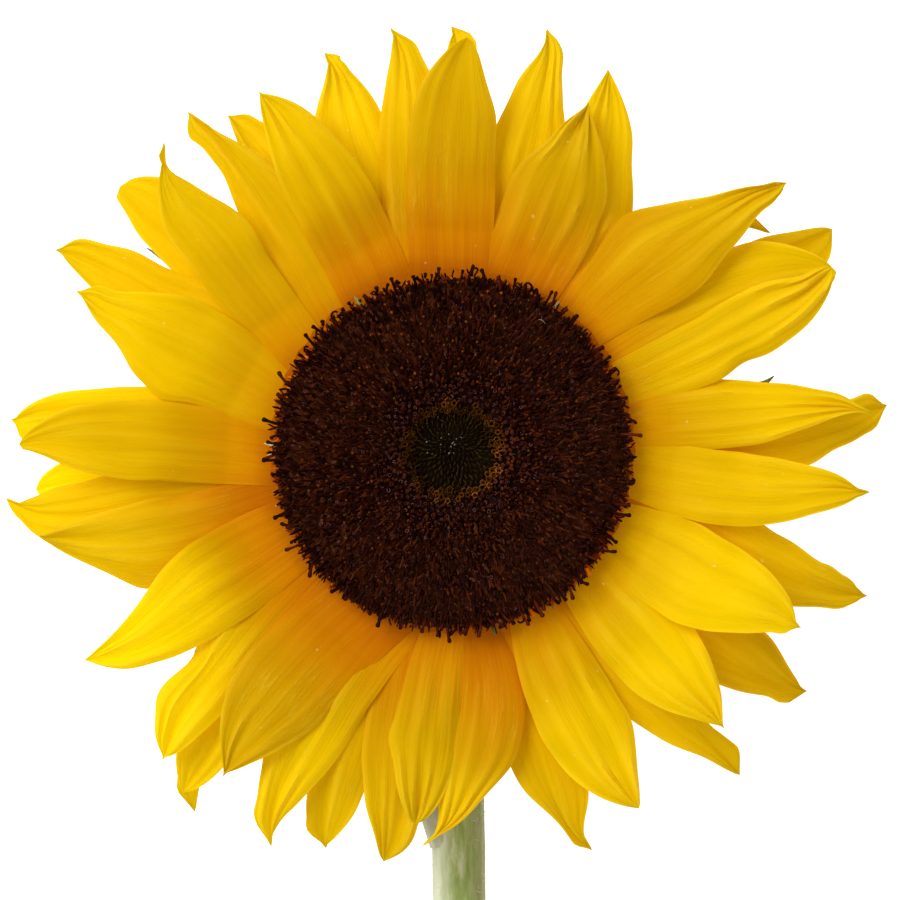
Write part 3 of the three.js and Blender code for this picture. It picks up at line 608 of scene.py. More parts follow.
def stem_material():
    """Pale green with darker fibres, pith at the cut end and cork on the scars, and painted light on the left
    side with painted shade on the right.
    """
    g = Graph("stem_skin")
    side = g.value("side")
    fibres = g.noise(g.stretch(g.value("grain", "Vector"), (1.0, 0.22, 1.0)), 1.1, 4.0, 0.6)
    blotches = g.noise(g.stretch(g.place, (1.0, 0.45, 1.0)), 0.35, 3.0, 0.55)
    fine = g.noise(g.place, 5.0, 4.0, 0.7)
    tone = g.add(g.times(fibres, 0.5), g.times(blotches, 0.5))
    base = g.ramp(tone, [(0.36, "7f9644"), (0.46, "98ac5e"), (0.55, "b0be7c"), (0.66, "d2dab0")])
    # Painted light and shade by the side value: olive shade where the skin faces right, pale light where it
    # faces left, greyed where it faces straight left, with blotches mixed in
    uneven = g.add(side, g.swing(blotches, 0.9))
    base = g.mix(g.range(uneven, 0.2, 0.8, 0.0, 0.75), base, "848240")
    base = g.mix(g.range(uneven, -0.2, -0.7, 0.0, 0.8), base, "e4ecce")
    base = g.mix(g.range(side, -0.9, -1.0, 0.0, 0.6), base, "b4b4b4")
    base = g.mix(g.times(g.value("dry"), g.range(fine, 0.2, 0.7, 0.6, 1.0)), base, "a8895a")
    cells = g.node("TexVoronoi", {"Vector": g.place, "Scale": 1.7}).outputs["Distance"]
    base = g.mix(g.value("pith"), base, g.ramp(cells, [(0.0, "f2efd6"), (0.5, "e2dcb4"), (0.9, "b9b078")]))
    height = g.add(fibres, g.times(fine, 0.6))
    return g.finish(base, g.range(fine, 0.3, 0.7, 0.5, 0.7), g.bump(height, 0.12), 0.3, sheen=0.2)


def hair_material():
    """Fine colourless hairs."""
    g = Graph("hair")
    fine = g.noise(g.place, 2.0, 2.0)
    base = g.ramp(fine, [(0.3, "dfe3cc"), (0.7, "fbfbf2")])
    return g.finish(base, g.range(fine, 0.2, 0.8, 0.45, 0.65), g.bump(fine, 0.02), 0.3, glow=0.4)


def floret_material(name, rough_low, rough_high, specular, streak, patch):
    """Parts of the disc, coloured by their tone and mottled finely."""
    g = Graph(name)
    fine = g.noise(g.place, 3.2, 4.0, 0.65)
    patches = g.noise(g.place, 0.12, 2.0, 0.5)
    base = g.mix(g.range(fine, 0.35, 0.75), g.value("tone", "Vector"), streak, "SOFT_LIGHT")
    base = g.mix(g.range(patches, 0.42, 0.62, 0.0, 0.3), base, patch)
    height = g.add(fine, g.times(g.noise(g.place, 9.0, 2.0), 0.4))
    return g.finish(base, g.range(fine, 0.3, 0.7, rough_low, rough_high), g.bump(height, 0.08), specular)


def floor_material():
    """Plain pale board with a faint grain, lit a little from within like a light table."""
    g = Graph("floor")
    base = g.ramp(g.noise(g.place, 0.05, 3.0), [(0.3, "fafafa"), (0.7, "ffffff")])
    normal = g.bump(g.noise(g.place, 1.2), 0.02)
    return g.finish(base, 0.9, normal, 0.1, lit=FLOOR_GLOW, lit_colour=(1, 1, 1, 1))


def spread(t, widest, base, point):
    """Half width of a petal or bract as a share of its greatest half width."""
    rising = base + (1 - base) * np.sin(np.pi / 2 * np.minimum(t / widest, 1))
    u = np.clip((t - widest) / (1 - widest), 0, 1)
    return np.where(t < widest, rising, np.maximum(0, 1 - u * u) ** point)


def petal_crests(s, t, number):
    """Lengthwise ridges of a petal: sharp on top, uneven in place and strength, strongest near the tip."""
    crests = -0.22
    for k in range(PETAL_RIDGES):
        place = -0.8 + 0.32 * k + 0.13 * math.sin(1.7 * number + 2.3 * k) + 0.08 * wobble(2.5 * t, number + k)
        strongest = 0.5 + 0.35 * math.sin(2.9 * number + 1.9 * k)
        strength = 0.75 * peak(t - strongest, 0.28) + 0.6 * step_up(t, 0.6, 0.85)
        wide = 0.26 + 0.08 * math.sin(3.1 * k + number)
        crests = crests + strength * np.maximum(0, 1 - np.abs(s - place) / wide) ** 1.6
    return crests


def petal_warmth_and_shade(bearing, warmth_and_shade, t):
    """Warmth along a petal, which also paints shade and light: roots are most orange below and to the left,
    tips are deepest on the right.
    """
    root = all_round(bearing, ROOT_WARMTH_AND_SHADE) * (1 - step_up(t, 0.15, 0.6))
    return warmth_and_shade + root + all_round(bearing, TIP_WARMTH_AND_SHADE) * step_up(t, 0.5, 0.9)


def petal_half_width(plain, number, s, t):
    """Half a petal's width all along it: its plain half width with its nib and the changes of its edges."""
    half = np.maximum(plain, NIB_WIDTH * np.clip((1 - t) / 0.1, 0, 1) + 0.05)
    for side, where, out, reach in EDGE_CHANGES.get(number, ()):
        half = half + out * peak(t - where, reach) * np.minimum(1, (1 - t) / 0.035) * (side * s < 0)
    return np.maximum(half, 0.05)


def ray_petal(row, number):
    """The grid of middle points of one petal, and the values at them."""
    root, tip_x, tip_y, width, widest, base, bow, hook, nib, point, level, warmth_and_shade, fold, tilt = row
    start = polar(PETAL_ROOT, root, 0.0)
    reach = np.array([tip_x, tip_y, 0.0]) - start
    length = np.linalg.norm(reach)
    t, s = lattice(PETAL_ROWS, PETAL_COLUMNS)
    t = t**0.94
    outline = spread(np.minimum(t / (1 - NIB_SHARE * min(1, abs(nib))), 1), widest, base, point)
    half = petal_half_width(width / 2 * outline, number, s, t)
    edge = 1 + 0.03 * wobble(8 * t + 2 * np.sign(s), number) * step_up(t, 0.25, 0.5)
    sideways = 4 * t * (1 - t) * bow + hook * (np.maximum(0, (t - 0.7) / 0.3) ** 2 - t)
    sideways = sideways + nib * (step_up(t, 0.86, 1.06) / 0.6 - 1) * step_up(t, 0.5, 0.9)
    lift = level / 6
    free = np.maximum(0, t - 0.22)
    height = length * ((0.48 * lift - 0.16) * free - (0.12 + 0.1 * lift) * free**2)
    cup = PETAL_CUP * width * s * s * np.minimum(1, 4 * free) * outline
    body = np.sin(np.pi * t) ** 0.6
    apart = step_up(t, 0.12, 0.45)
    crests = petal_crests(s, t, number)
    pleats = body * np.sin(PETAL_PLEATS * (s + 0.12 * wobble(3 * t, number + 0.5)) + number)
    folds = 2.4 * fold * stay(t, 0.1, 0.45, 0.92, 1.0) * crests + 0.045 * pleats
    ripple = 0.45 * body * apart * np.abs(s) ** 2.5 * wobble(7 * t + 2.4 * np.sign(s), number)
    sway = 0.5 * body * apart * wobble(5 * t, number + 7)
    roll = tilt * s * half * step_up(t, 0.15, 0.6)
    pinch = 0.8 * s * s * stay(t, 0.72, 1.0, 0.95, 1.0)
    keel = 0.16 * half * np.abs(s) * stay(t, 0.6, 0.93, 0.97, 1.0)
    crease = 0.35 * peak(s, 0.3) * stay(t, 0.66, 0.93, 0.97, 1.0)
    middle = start + reach * t[..., None] + left_of(reach) * (sideways - s * half * edge)[..., None]
    middle[..., 2] = PETAL_LOWEST_ROOT + PETAL_LEVEL_STEP * level + height
    middle[..., 2] += folds + ripple + sway + roll + pinch + keel - cup - crease
    # How far the surface stands up in a ridge or down in a valley, for painted light and shade
    ridge_shading = (crests * (0.25 + 2.6 * fold) + 0.12 * pleats) * step_up(t, 0.05, 0.4)
    return middle, {"grain": vectors(8 * s, length * t, 13.7 * number), "along": t,
                    "warmth_and_shade": petal_warmth_and_shade(root, warmth_and_shade, t), "ridge_shading": ridge_shading, "edge": np.abs(s)}


def add_petals(material):
    for number, row in enumerate(PETALS, 1):
        middle, values = ray_petal(row, number)
        shape = Shape()
        shape.blade(middle, PETAL_THICKNESS, **values)
        shape.piece(f"ray_petal_{number:02d}", "ray_petals", material)


def add_petal_ring(material):
    """The ring of claws under the disc's rim that the petals grow from, with a rib for each petal."""
    segments = 4 * len(PETALS)
    turn = np.arange(segments) * 360.0 / segments
    outer = DISC_RADIUS - 0.4 + 0.25 * np.cos(np.radians(turn) * len(PETALS))
    halfway = (RING_BOTTOM + RING_TOP) / 2
    profile = [(RING_INNER, RING_BOTTOM), (outer, RING_BOTTOM), (outer + 0.15, halfway), (outer, RING_TOP),
               (RING_INNER, RING_TOP)]
    points = np.stack([polar(radius, turn, height) for radius, height in profile])
    index = wrapped(np.arange(len(profile) * segments).reshape(-1, segments))
    shape = Shape()
    # The ring takes the petals' colour at its warmest and nearest the root, painted deep amber as the shade
    # under the disc
    shape.add(points, grid_faces(np.vstack([index, index[:1]])), grain=points[..., [0, 2, 1]],
              along=0.05, warmth_and_shade=2.0, ridge_shading=0, edge=0)
    shape.piece("petal_ring", "ray_petals", material)


def disc_height(radius):
    """Height of the disc's face: highest at half its radius, lower at the rim and in the eye."""
    share = radius / DISC_RADIUS
    return DISC_CROWN - 6 * (share - 0.55) ** 2 - 0.6 * np.maximum(0, 1 - radius / EYE_RADIUS)


def on_disc(radius, bearing, above):
    return polar(radius, bearing, disc_height(radius) + above)


def floret_places():
    """Radius and bearing of every floret, by the golden angle, closer together towards the eye."""
    radius = 0.4
    places = []
    while radius < BED_RADIUS + 0.3:
        places.append((radius, math.degrees(len(places) * GOLDEN_ANGLE) % 360))
        cell = np.interp(radius, [0, 6, 9, 16, 33], [0.55, 0.8, 1.15, 1.75, 2.1])
        radius = math.sqrt(radius**2 + cell / math.pi)
    return np.array(places)


def between(places, nearest, farthest=math.inf):
    """The florets of a ring of the disc."""
    return places[(places[:, 0] > nearest) & (places[:, 0] < farthest)]


def kept(places, chance):
    """Radius and bearing of the florets that the chance keeps."""
    return places[RNG.random(len(places)) < chance].T


def leaning(bearing, lean):
    """Axes of florets that lean outwards by an angle in degrees: out, sideways and up."""
    out = polar(1.0, bearing, 0.0)
    tilt = np.radians(lean)[:, None]
    side = polar(1.0, bearing + 90, 0.0)
    return out * np.cos(tilt) - UP * np.sin(tilt), side, UP * np.cos(tilt) + out * np.sin(tilt)


def pick(codes, shares, count):
    """Random display colours by their shares."""
    palette = np.array([colour(code) for code in codes])
    chosen = palette[RNG.choice(len(codes), count, p=np.array(shares) / sum(shares))]
    return chosen * RNG.uniform(0.75, 1.25, (count, 1))


def eye_glow(bearing):
    """How bright the ochre edge of the eye is all round: most to the right and below, least to the left."""
    return 0.28 + all_round(bearing, EYE_GLOW)


def rim_shift(radius, bearing):
    """Millimetres by which the disc reaches farther out or less far than a circle, near its rim."""
    return all_round(bearing, RIM_SHIFT) * step_up(radius, 24, 30)


def add_disc_bed(material):
    """The dark bed that the florets stand in."""
    face = [(r, disc_height(r) - 1.3) for r in (BED_RADIUS, *np.linspace(BED_RADIUS - 0.4, NEAR_AXIS, 60))]
    foot = [(NEAR_AXIS, BED_BOTTOM), (RING_INNER - 0.3, BED_BOTTOM), (RING_INNER - 0.3, RING_TOP + 0.2),
            (BED_RADIUS, RING_TOP + 0.2)]
    points, faces = lathe(foot + face, segments=128)
    radius = np.linalg.norm(points[..., :2], axis=-1)
    bearing = np.degrees(np.arctan2(points[..., 1], points[..., 0]))
    outer = step_up(radius, 12, 17)[..., None]
    points[..., :2] *= (1 + rim_shift(radius, bearing) / radius)[..., None]
    shape = Shape()
    shape.add(points, faces, tone=colour("240c06") * (1 - outer) + colour("582a10") * outer)
    shape.piece("disc_bed", "disc_florets", material)


def add_corollas(material, places):
    """The ochre mesh of opening florets round the eye."""
    places = between(places, 6.8, 9.3)
    radius, bearing = kept(places, np.interp(places[:, 0], [6.8, 7.4, 8.8, 9.3], [0.3, 0.85, 0.85, 0.4]))
    radius = radius + RNG.normal(0, 0.08, len(radius))
    count, steps = len(radius), 10
    out, side, up = leaning(bearing + RNG.normal(0, 25, count), RNG.normal(0, 14, count))
    foot = on_disc(radius, bearing, RNG.uniform(-0.15, 0.15, count))
    wide = RNG.uniform(0.42, 0.56, (count, 1))
    turn = np.arange(steps) * 2 * np.pi / steps + RNG.uniform(0, 6, (count, 1))
    lobe = np.cos(5 * (turn - turn[:, :1]))
    reach = wide * (1 + 0.16 * lobe)
    squash = RNG.uniform(0.7, 1.0, (count, 1))
    round_foot = moved(reach * np.cos(turn), out) + moved(reach * squash * np.sin(turn), side)
    ring = foot[:, None] + round_foot + moved(0.15 * lobe, up)
    outward = unit(ring - foot[:, None])
    walls = [(0, 1.3), (1, 0.0), (0, -1.3), (-0.8, 0.0)]
    points = np.stack([ring + 0.17 * (a * outward + b * up[:, None]) for a, b in walls], 2)
    index = wrapped(np.arange(steps * len(walls)).reshape(steps, -1))
    glow = eye_glow(bearing) * np.interp(radius, [6.8, 8.4], [0.35, 1.0])
    tone = colour("86541c") * (RNG.uniform(0.3, 1.2, count) * glow)[:, None]
    shape = Shape()
    shape.add(points, grid_faces(np.vstack([index, index[:1]])), count, tone=tone[:, None, None])
    shape.piece("disc_corollas", "disc_florets", material)


def add_closed_florets(material, places):
    """The round-headed closed florets in a broad ring about the eye, reddest on its right."""
    places = np.tile(between(places, 8.7), (2, 1))
    radius, bearing = kept(places, np.interp(places[:, 0], [9, 14, 20, 33], [0.95, 0.8, 0.25, 0.12]))
    count = len(radius)
    radius = radius + RNG.normal(0, 0.3, count)
    bearing = bearing + np.degrees(RNG.normal(0, 0.35, count) / radius)
    lean = np.interp(radius, [9, 16, 33], [4, 30, 60]) + RNG.normal(0, 12, count)
    frame = leaning(bearing + RNG.normal(0, 20, count), lean)
    tall = RNG.uniform(0.95, 1.35, count)
    fat = RNG.uniform(0.7, 1.15, count)
    tone = pick(["36140e", "40190f", "2c100c", "46240e"], [4, 4, 3, 1.5], count)
    red = (peak(radius - 10.2, 1.7) * (0.04 + all_round(bearing, EYE_RED)))[:, None]
    tone = tone * (1 - red) + colour("8a461a") * red
    shape = Shape()
    shape.rods(on_disc(radius, bearing, -1.0), frame, tall, fat, tone, CLOSED_FLORET)
    shape.piece("disc_closed_florets", "disc_florets", material)


def add_styles(material, places):
    """Slender dark styles that lean outwards, two to a floret."""
    radius, bearing = np.tile(between(places, 11.5), (2, 1)).T
    count = len(radius)
    radius = np.minimum(radius + RNG.normal(0, 0.4, count), BED_RADIUS + 0.2)
    radius = radius + rim_shift(radius, bearing)
    bearing = bearing + np.degrees(RNG.normal(0, 0.45, count) / radius)
    lean = np.interp(radius, [11, 16, 22, 32], [34, 56, 66, 70]) + RNG.normal(0, 8, count)
    frame = leaning(bearing + RNG.normal(0, 14, count), lean)
    foot = on_disc(radius, bearing, -0.85) - 0.9 * frame[0] * (radius / DISC_RADIUS)[:, None]
    tall = RNG.uniform(1.4, 2.4, count) * np.interp(radius, [11, 16, 29, 33], [0.6, 1.0, 1.0, 0.75])
    bend = 0.16 * RNG.normal(0, 1, count)
    fat = RNG.uniform(0.75, 1.15, count) * np.interp(radius, [27, 30], [1.0, 0.8])
    tone = pick(["1c0603", "280a04", "3a1307", "4c240e"], [5, 5, 3, 2.5], count)
    tone = tone * np.interp(radius, [26, 30], [1.0, 0.75])[:, None]
    shape = Shape()
    shape.rods(foot, frame, tall, fat, tone, STYLE, 6, bend)
    shape.piece("disc_styles", "disc_florets", material)


def add_curls(material, places):
    """Thin stigmas that curl over some of the florets, their mauve-grey tones partly painted glints."""
    places = between(places, 9.2, 30.5)
    radius, bearing = places.T
    radius, bearing = kept(places, 0.42 + 0.5 * facing(bearing, 290, 80) + 0.3 * (radius < 14))
    count = len(radius)
    out, side, up = leaning(bearing + RNG.normal(0, 40, count), RNG.normal(25, 18, count))
    middle = on_disc(radius, bearing, RNG.uniform(0.0, 0.3, count))
    curl = RNG.uniform(0.22, 0.38, (count, 1))
    sweep = np.linspace(0, 1, 8) * RNG.uniform(2.6, 6.0, (count, 1)) + RNG.uniform(0, 6, (count, 1))
    paths = middle[:, None] + moved(curl * np.cos(sweep), out) + moved(0.75 * curl * np.sin(sweep), side)
    # Mauve-grey tones: partly the stigmas' own colour, partly painted glints of light
    tone = pick(["644648", "4a3234", "5c3418"], [4, 4, 3], count)
    shape = Shape()
    shape.tubes(paths, 0.07, 4, up, tone=tone[:, None, None])
    shape.piece("disc_stigmas", "disc_florets", material)


def add_chaff(material, places):
    """Rusty and ochre tips of the chaff, one between the florets of each cell."""
    places = between(places, 12.5)
    radius, bearing = kept(places, np.interp(places[:, 0], [12, 16, 33], [0.5, 0.9, 0.9]))
    count = len(radius)
    bearing = bearing + 45 / radius
    frame = leaning(bearing, 20 + RNG.normal(0, 12, count))
    tall = RNG.uniform(0.75, 1.15, count)
    fat = RNG.uniform(0.75, 1.2, count)
    tone = pick(["643010", "6e3a14", "4c240c", "5c4016"], [3, 3, 3, 2], count)
    tone = tone * (1 + 0.6 * facing(bearing, 88, 34))[:, None]
    shape = Shape()
    shape.rods(on_disc(radius, bearing, -1.0), frame, tall, fat, tone, CHAFF)
    shape.piece("disc_chaff", "disc_florets", material)


def evenly(count, scatter):
    """Bearings all round with some scatter, one to a row."""
    return (np.arange(count) * 360 / count + RNG.normal(0, scatter, count))[:, None]


def add_rim_stigmas(material):
    """Knobbed stigmas that stand out all round the rim, and a few that hook back."""
    shape = Shape()
    height = disc_height(DISC_RADIUS)
    rooted = 3.2
    count = 124
    bearing = evenly(count, 0.8)
    beyond = rooted + RNG.choice([-1.4, -0.7, 0.0, 0.8], (count, 1), p=[0.3, 0.3, 0.25, 0.15])
    beyond = beyond + RNG.normal(0, 0.2, (count, 1)) + rim_shift(DISC_RADIUS, bearing)
    share, knob = np.transpose(RIM_STIGMA)
    turn = bearing + RNG.normal(0, 1.6, (count, 1)) * share**2
    rise = RNG.uniform(0.6, 1.9, (count, 1)) * np.sin(1.7 * share) - 0.4
    knob = knob * RNG.uniform(0.8, 1.1, (count, 1))
    tone = pick(["260a04", "3a1208", "54200c"], [4, 3, 2], count)
    paths = polar(DISC_RADIUS - rooted + share * beyond, turn, height + rise)
    shape.tubes(paths, knob, 6, UP, tone=tone[:, None, None])
    count, steps = 12, 8
    bearing = evenly(count, 6)
    share = np.linspace(0, 1, steps)
    swing = np.where(RNG.random((count, 1)) < 0.5, 1, -1) * RNG.uniform(0.4, 0.7, (count, 1))
    back = 1.8 * (1 - share) ** 2 + 3.6 * np.maximum(0, share - 0.55) ** 2
    sideways = swing * (1 - np.cos(np.pi * np.clip((share - 0.35) / 0.65, 0, 1)))
    turn = bearing + np.degrees(sideways / DISC_RADIUS)
    paths = polar(DISC_RADIUS + RNG.uniform(-1.0, 0.3, (count, 1)) - back, turn,
                  height + 0.3 + 0.9 * np.sin(2.6 * share))
    tone = pick(["1a0604", "300e07", "4a180a"], [3, 3, 2], count)
    shape.tubes(paths, np.linspace(0.24, 0.19, steps), 6, UP, tone=tone[:, None, None])
    shape.piece("disc_rim_stigmas", "disc_florets", material)


def add_rim_lobes(material):
    """Rusty lobes of the outermost corollas, under the stigmas of the rim, painted brighter towards the upper
    left, where the key lamp stands.
    """
    count, steps = 230, 4
    bearing = evenly(count, 0.8)
    share = np.linspace(0, 1, steps)
    reach = RNG.uniform(0.8, 2.0, (count, 1))
    along = BED_RADIUS - 0.7 + 0.95 * reach * share + rim_shift(DISC_RADIUS, bearing)
    height = disc_height(DISC_RADIUS) - RNG.uniform(0.1, 1.6, (count, 1)) + 0.5 * share**2
    paths = polar(along, bearing + RNG.normal(0, 1.5, (count, 1)) * share, height)
    tone = pick(["a8480e", "d8740e", "702c0a", "9a5412"], [4, 4, 4, 2], count)
    # Painted light: brighter on the side of the key lamp
    tone = tone * (1 + 0.6 * facing(bearing, 140, 45))
    shape = Shape()
    shape.tubes(paths, [0.36, 0.4, 0.26, 0.05], 4, UP, tone=tone[:, None, None])
    shape.piece("disc_rim_lobes", "disc_florets", material)


def add_rim_chaff(material):
    """The few pale and green tips of chaff at the rim between the petals' roots, and a loose filament."""
    shape = Shape()
    t, s = lattice(10, 5)
    rooted, top = BED_RADIUS - 1.0, 37.7
    for bearing, reach, width, turn, code in RIM_CHAFF:
        half = np.maximum(width / 2 * (1 - t**2) ** 0.8, 0.04)
        spine = polar(rooted + t * (reach - rooted), bearing, top - 0.4 * t)
        middle = spine + (turn * t**2 - s * half)[..., None] * polar(1.0, bearing + 90, 0.0)
        middle[..., 2] += 0.25 * s * s * half
        shape.blade(middle, 0.2, tone=colour(code))
    share = np.linspace(0, 1, 9)
    path = FILAMENT + vectors(1.1 * share, 0.2 * share - 0.9 * share**2, 0.5 * np.sin(3 * share))
    shape.tubes(path[None], 0.05, 5, UP, tone=colour("9a948a"))
    shape.piece("disc_rim_chaff", "disc_florets", material)


def add_eye(material, places):
    """Closed buds in the middle: dark scales with olive backs that swirl in to the top of the eye."""
    radius, bearing = between(places, 0, EYE_RADIUS + 0.2).T
    count, steps = len(radius), 6
    outer = radius / EYE_RADIUS
    foot = on_disc(radius, bearing, -0.55) + (1 - outer)[:, None] * [0.0, 1.9, 0.0]
    inward = unit(0.001 - 0.9 * radius[:, None] * polar(1.0, bearing, 0.0))
    twist = np.radians(16 * np.sin(np.radians(bearing * 2)) + RNG.normal(0, 13, count))[:, None]
    heading = np.cos(twist) * inward + np.sin(twist) * np.cross(UP, inward)
    long = np.interp(radius, [0, 4, 8.2], [0.7, 1.15, 1.2])[:, None] * RNG.uniform(0.7, 1.15, (count, 1))
    share = np.linspace(0, 1, steps)
    wave = 0.08 * np.sin(2 * np.pi * share + RNG.uniform(-3, 3, (count, 1)))
    paths = foot[:, None] + moved(long * (share - 0.35), heading) + moved(wave, np.cross(UP, heading))
    paths[..., 2] += 0.15 + 0.5 * np.sin(np.pi * share) ** 0.8 + RNG.uniform(-0.16, 0.08, (count, 1))
    thick = RNG.uniform(0.65, 1.1, (count, 1)) * [0.09, 0.13, 0.14, 0.12, 0.09, 0.05]
    ochre = (np.clip((outer - 0.5) / 0.4, 0, 1) ** 1.5 * np.minimum(1, 0.2 + eye_glow(bearing)))[:, None]
    tone = colour("44341a") * (1 - ochre) + colour("5c4418") * ochre
    tone = tone * RNG.uniform(0.25, 1.0, (count, 1)) ** 1.3 * (1 - 0.3 * peak(outer, 0.3))[:, None]
    shape = Shape()
    shape.tubes(paths, thick, 4, UP, tone=tone[:, None, None])
    face = [(r, disc_height(r) - 0.5) for r in np.linspace(EYE_RADIUS - 0.05, NEAR_AXIS, 26)]
    points, faces = lathe([(NEAR_AXIS, BED_BOTTOM), (EYE_RADIUS - 0.05, BED_BOTTOM)] + face, segments=64)
    shape.add(points, faces, tone=colour("100703"))
    grains = 18
    where = RNG.normal(0, 1, (grains, 3)) * [1.6, 1.0, 0] + [-1.4, 0.8, 0]
    where[:, 2] = disc_height(np.linalg.norm(where, axis=1)) + 0.15
    size = RNG.uniform(0.08, 0.18, (grains, 1))
    paths = where[:, None] + moved(size * [-1, -0.5, 0.5, 1.0], UP[None])
    shape.tubes(paths, size * [0.3, 0.9, 0.9, 0.3], 6, (1.0, 0.0, 0.0), tone=colour("8c887a"))
    shape.piece("disc_eye", "disc_buds", material)


def bract(route, width, bearing, index):
    """The grid of middle points of one bract, and the values at them."""
    rows = 30
    radius, height = spline(route, rows).T[..., None]
    t, s = lattice(rows, 13)
    outline = spread(t, 0.3, 0.75, 1.5)
    half = np.maximum(width / 2 * outline, 0.12)
    radius = radius * (1 + 0.03 * math.sin(index * 2.1))
    if index == LONG_TIP:
        radius = radius * (1 + 0.14 * t**3)
    sideways = 2 * math.sin(index * 1.3) * t * t - s * half
    if index == FREE_TIP:
        sideways = sideways + 2.2 * t**8
    out, side = polar(1.0, bearing, 0.0), polar(1.0, bearing + 90, 0.0)
    middle = radius[..., None] * out + sideways[..., None] * side
    rib = 0.08 * np.cos(4.5 * np.pi * s) - 0.35 * peak(s, 0.12) * outline
    ripple = 0.4 * s * s * wobble(8 * t + np.sign(s), index) * step_up(t, 0.15, 0.4)
    height = height + rib * step_up(t, 0, 0.2) + ripple + 0.05 * half * s * s
    middle[..., 2] = np.maximum(height, BRACT_THICKNESS / 2)
    return middle, {
        "grain": vectors(4 * s, 40 * t, 3.1 * index),
        "vein": np.clip(1.2 * peak(s, 0.1) + 0.35 * np.cos(4.5 * np.pi * s) ** 4, 0, 1),
        "dry": 0.75 * step_up(t, 0.88, 1.0) + 0.25 * np.abs(s) ** 6,
    }


def add_bracts(material, hair):
    """The green dish and its overlapping pointed bracts, with fine hairs along their edges."""
    shape = Shape()
    neck = [(NEAR_AXIS, DISH_BOTTOM - 0.25), (NECK_TOP_RADIUS - 0.4, DISH_BOTTOM - 0.25),
            (NECK_TOP_RADIUS + 0.5, DISH_BOTTOM + 0.1)]
    segments, ribs = 128, 20
    turn = np.arange(segments)
    points, faces = lathe(neck + DISH_SIDE, segments)
    vein = 0.175 + 0.175 * np.cos(turn * 2 * np.pi * ribs / segments)
    shape.add(points, faces, grain=vectors(0.35 * turn, points[..., 2], 5.0), vein=vein, dry=0)
    feet, ways = [], []
    for series, (route, width, bearings) in enumerate(BRACT_SERIES):
        for number, bearing in enumerate(bearings):
            middle, values = bract(route, width, bearing, number + 5 * series)
            shape.blade(middle, BRACT_THICKNESS, **values)
            for column, way in ((0, 1), (-1, -1)):
                feet.append(np.repeat(middle[2:-1, column], 2, axis=0))
                aside = way * polar(1.0, bearing + 90, 0.0) + 0.5 * polar(1.0, bearing, 0.0)
                ways.append(np.tile(aside, (len(feet[-1]), 1)))
    shape.piece("bract_cup", "bracts", material)
    foot = np.vstack(feet)
    foot = foot + RNG.normal(0, 0.5, foot.shape) * [1, 1, 0.1]
    add_hairs("bract_hairs", "bracts", hair, foot, np.vstack(ways), 0.5, 1.1, 0.035)


def add_hairs(name, node, material, foot, way, shortest, longest, thick):
    """Thin tapering hairs that stand on the given points."""
    count = len(foot)
    long = RNG.uniform(shortest, longest, (count, 1))
    heading = unit(unit(way) + RNG.normal(0, 0.3, (count, 3)))
    droop = RNG.normal(0, 0.16, (count, 3))
    tip = foot + (heading + droop) * long
    paths = np.stack([foot - 0.1 * heading, foot + 0.55 * long * heading, tip], 1)
    aside = unit(np.cross(heading, RNG.normal(0, 1, (count, 3))))
    shape = Shape()
    shape.tubes(paths, np.array([1.0, 0.7, 0.25]) * thick, 4, aside)
    shape.piece(name, node, material)


def add_stem(material, hair):
    """The round hairy stem: cut flat at one end, bent up into the head at the other."""
    rows, sides = 300, 56
    route = spline(STEM_ROUTE, rows)
    along = unit(np.gradient(route, axis=0))
    across = unit([1.0, 0, 0] - along[:, :1] * along)
    up = np.cross(along, across)
    t = np.linspace(0, 1, rows)[:, None]
    angle = np.arange(sides)[None] * 2 * np.pi / sides
    flare = (NECK_TOP_RADIUS - STEM_RADIUS) * np.maximum(0, (t - 0.94) / 0.06) ** 2
    ribs = 0.07 * np.cos(11 * angle + 1.2 * np.sin(5 * t)) + 0.04 * np.cos(17 * angle + 3 * t)
    radius = STEM_RADIUS + flare + ribs + 0.05 * wobble(40 * t + 2 * np.sin(angle), 3.0)
    around = np.cos(angle)[..., None] * across[:, None] + np.sin(angle)[..., None] * up[:, None]
    smooth = route[:, None] + radius[..., None] * around
    dry = np.zeros((rows, sides))
    for scar in LEAF_SCARS:
        apart = np.linalg.norm(smooth - scar, axis=-1) / SCAR_REACH
        near = peak(apart, 1)
        radius = radius + 0.75 * near + 0.25 * peak(apart - 0.75, 0.25) * (near > 0.2)
        dry = np.maximum(dry, np.clip(1.6 * near - 0.25, 0, 1))
    skin = route[:, None] + radius[..., None] * around
    skin[0] += CUT_SLANT * STEM_RADIUS * np.cos(angle[0])[:, None] * along[0]
    cut = [route[0] + share * (skin[0] - route[0]) + depth * along[0] for share, depth in CUT_RINGS]
    points = np.concatenate([cut, skin])
    points[..., 1] = np.maximum(points[..., 1], -STEM_LENGTH - CUT_OVERHANG)
    length = np.append(np.full(len(cut), -1.0), STEM_LENGTH * t)[:, None]
    before = ((len(cut), 0), (0, 0))
    shape = Shape()
    # The side value is how far the skin faces +X; the skin's material paints shade on the right and light on
    # the left from it
    shape.add(points, tube_faces(len(points), sides)[:, ::-1],
              grain=vectors(STEM_RADIUS * angle, length, 2.0), pith=(length < 0),
              dry=np.pad(dry, before), side=np.pad(around[..., 0], before))
    shape.piece("stem_skin", "stem", material)
    row = RNG.integers(4, rows - 8, STEM_HAIRS)
    turn = RNG.uniform(-0.9, np.pi + 0.9, STEM_HAIRS)[:, None]
    normal = np.cos(turn) * across[row] + np.sin(turn) * up[row]
    foot = route[row] + (STEM_RADIUS + flare[row] - 0.05) * normal
    way = 0.6 * normal - 0.2 * along[row] + RNG.normal(0, 0.45, normal.shape)
    add_hairs("stem_hairs", "stem", hair, foot, way, 0.5, 1.4, 0.045)


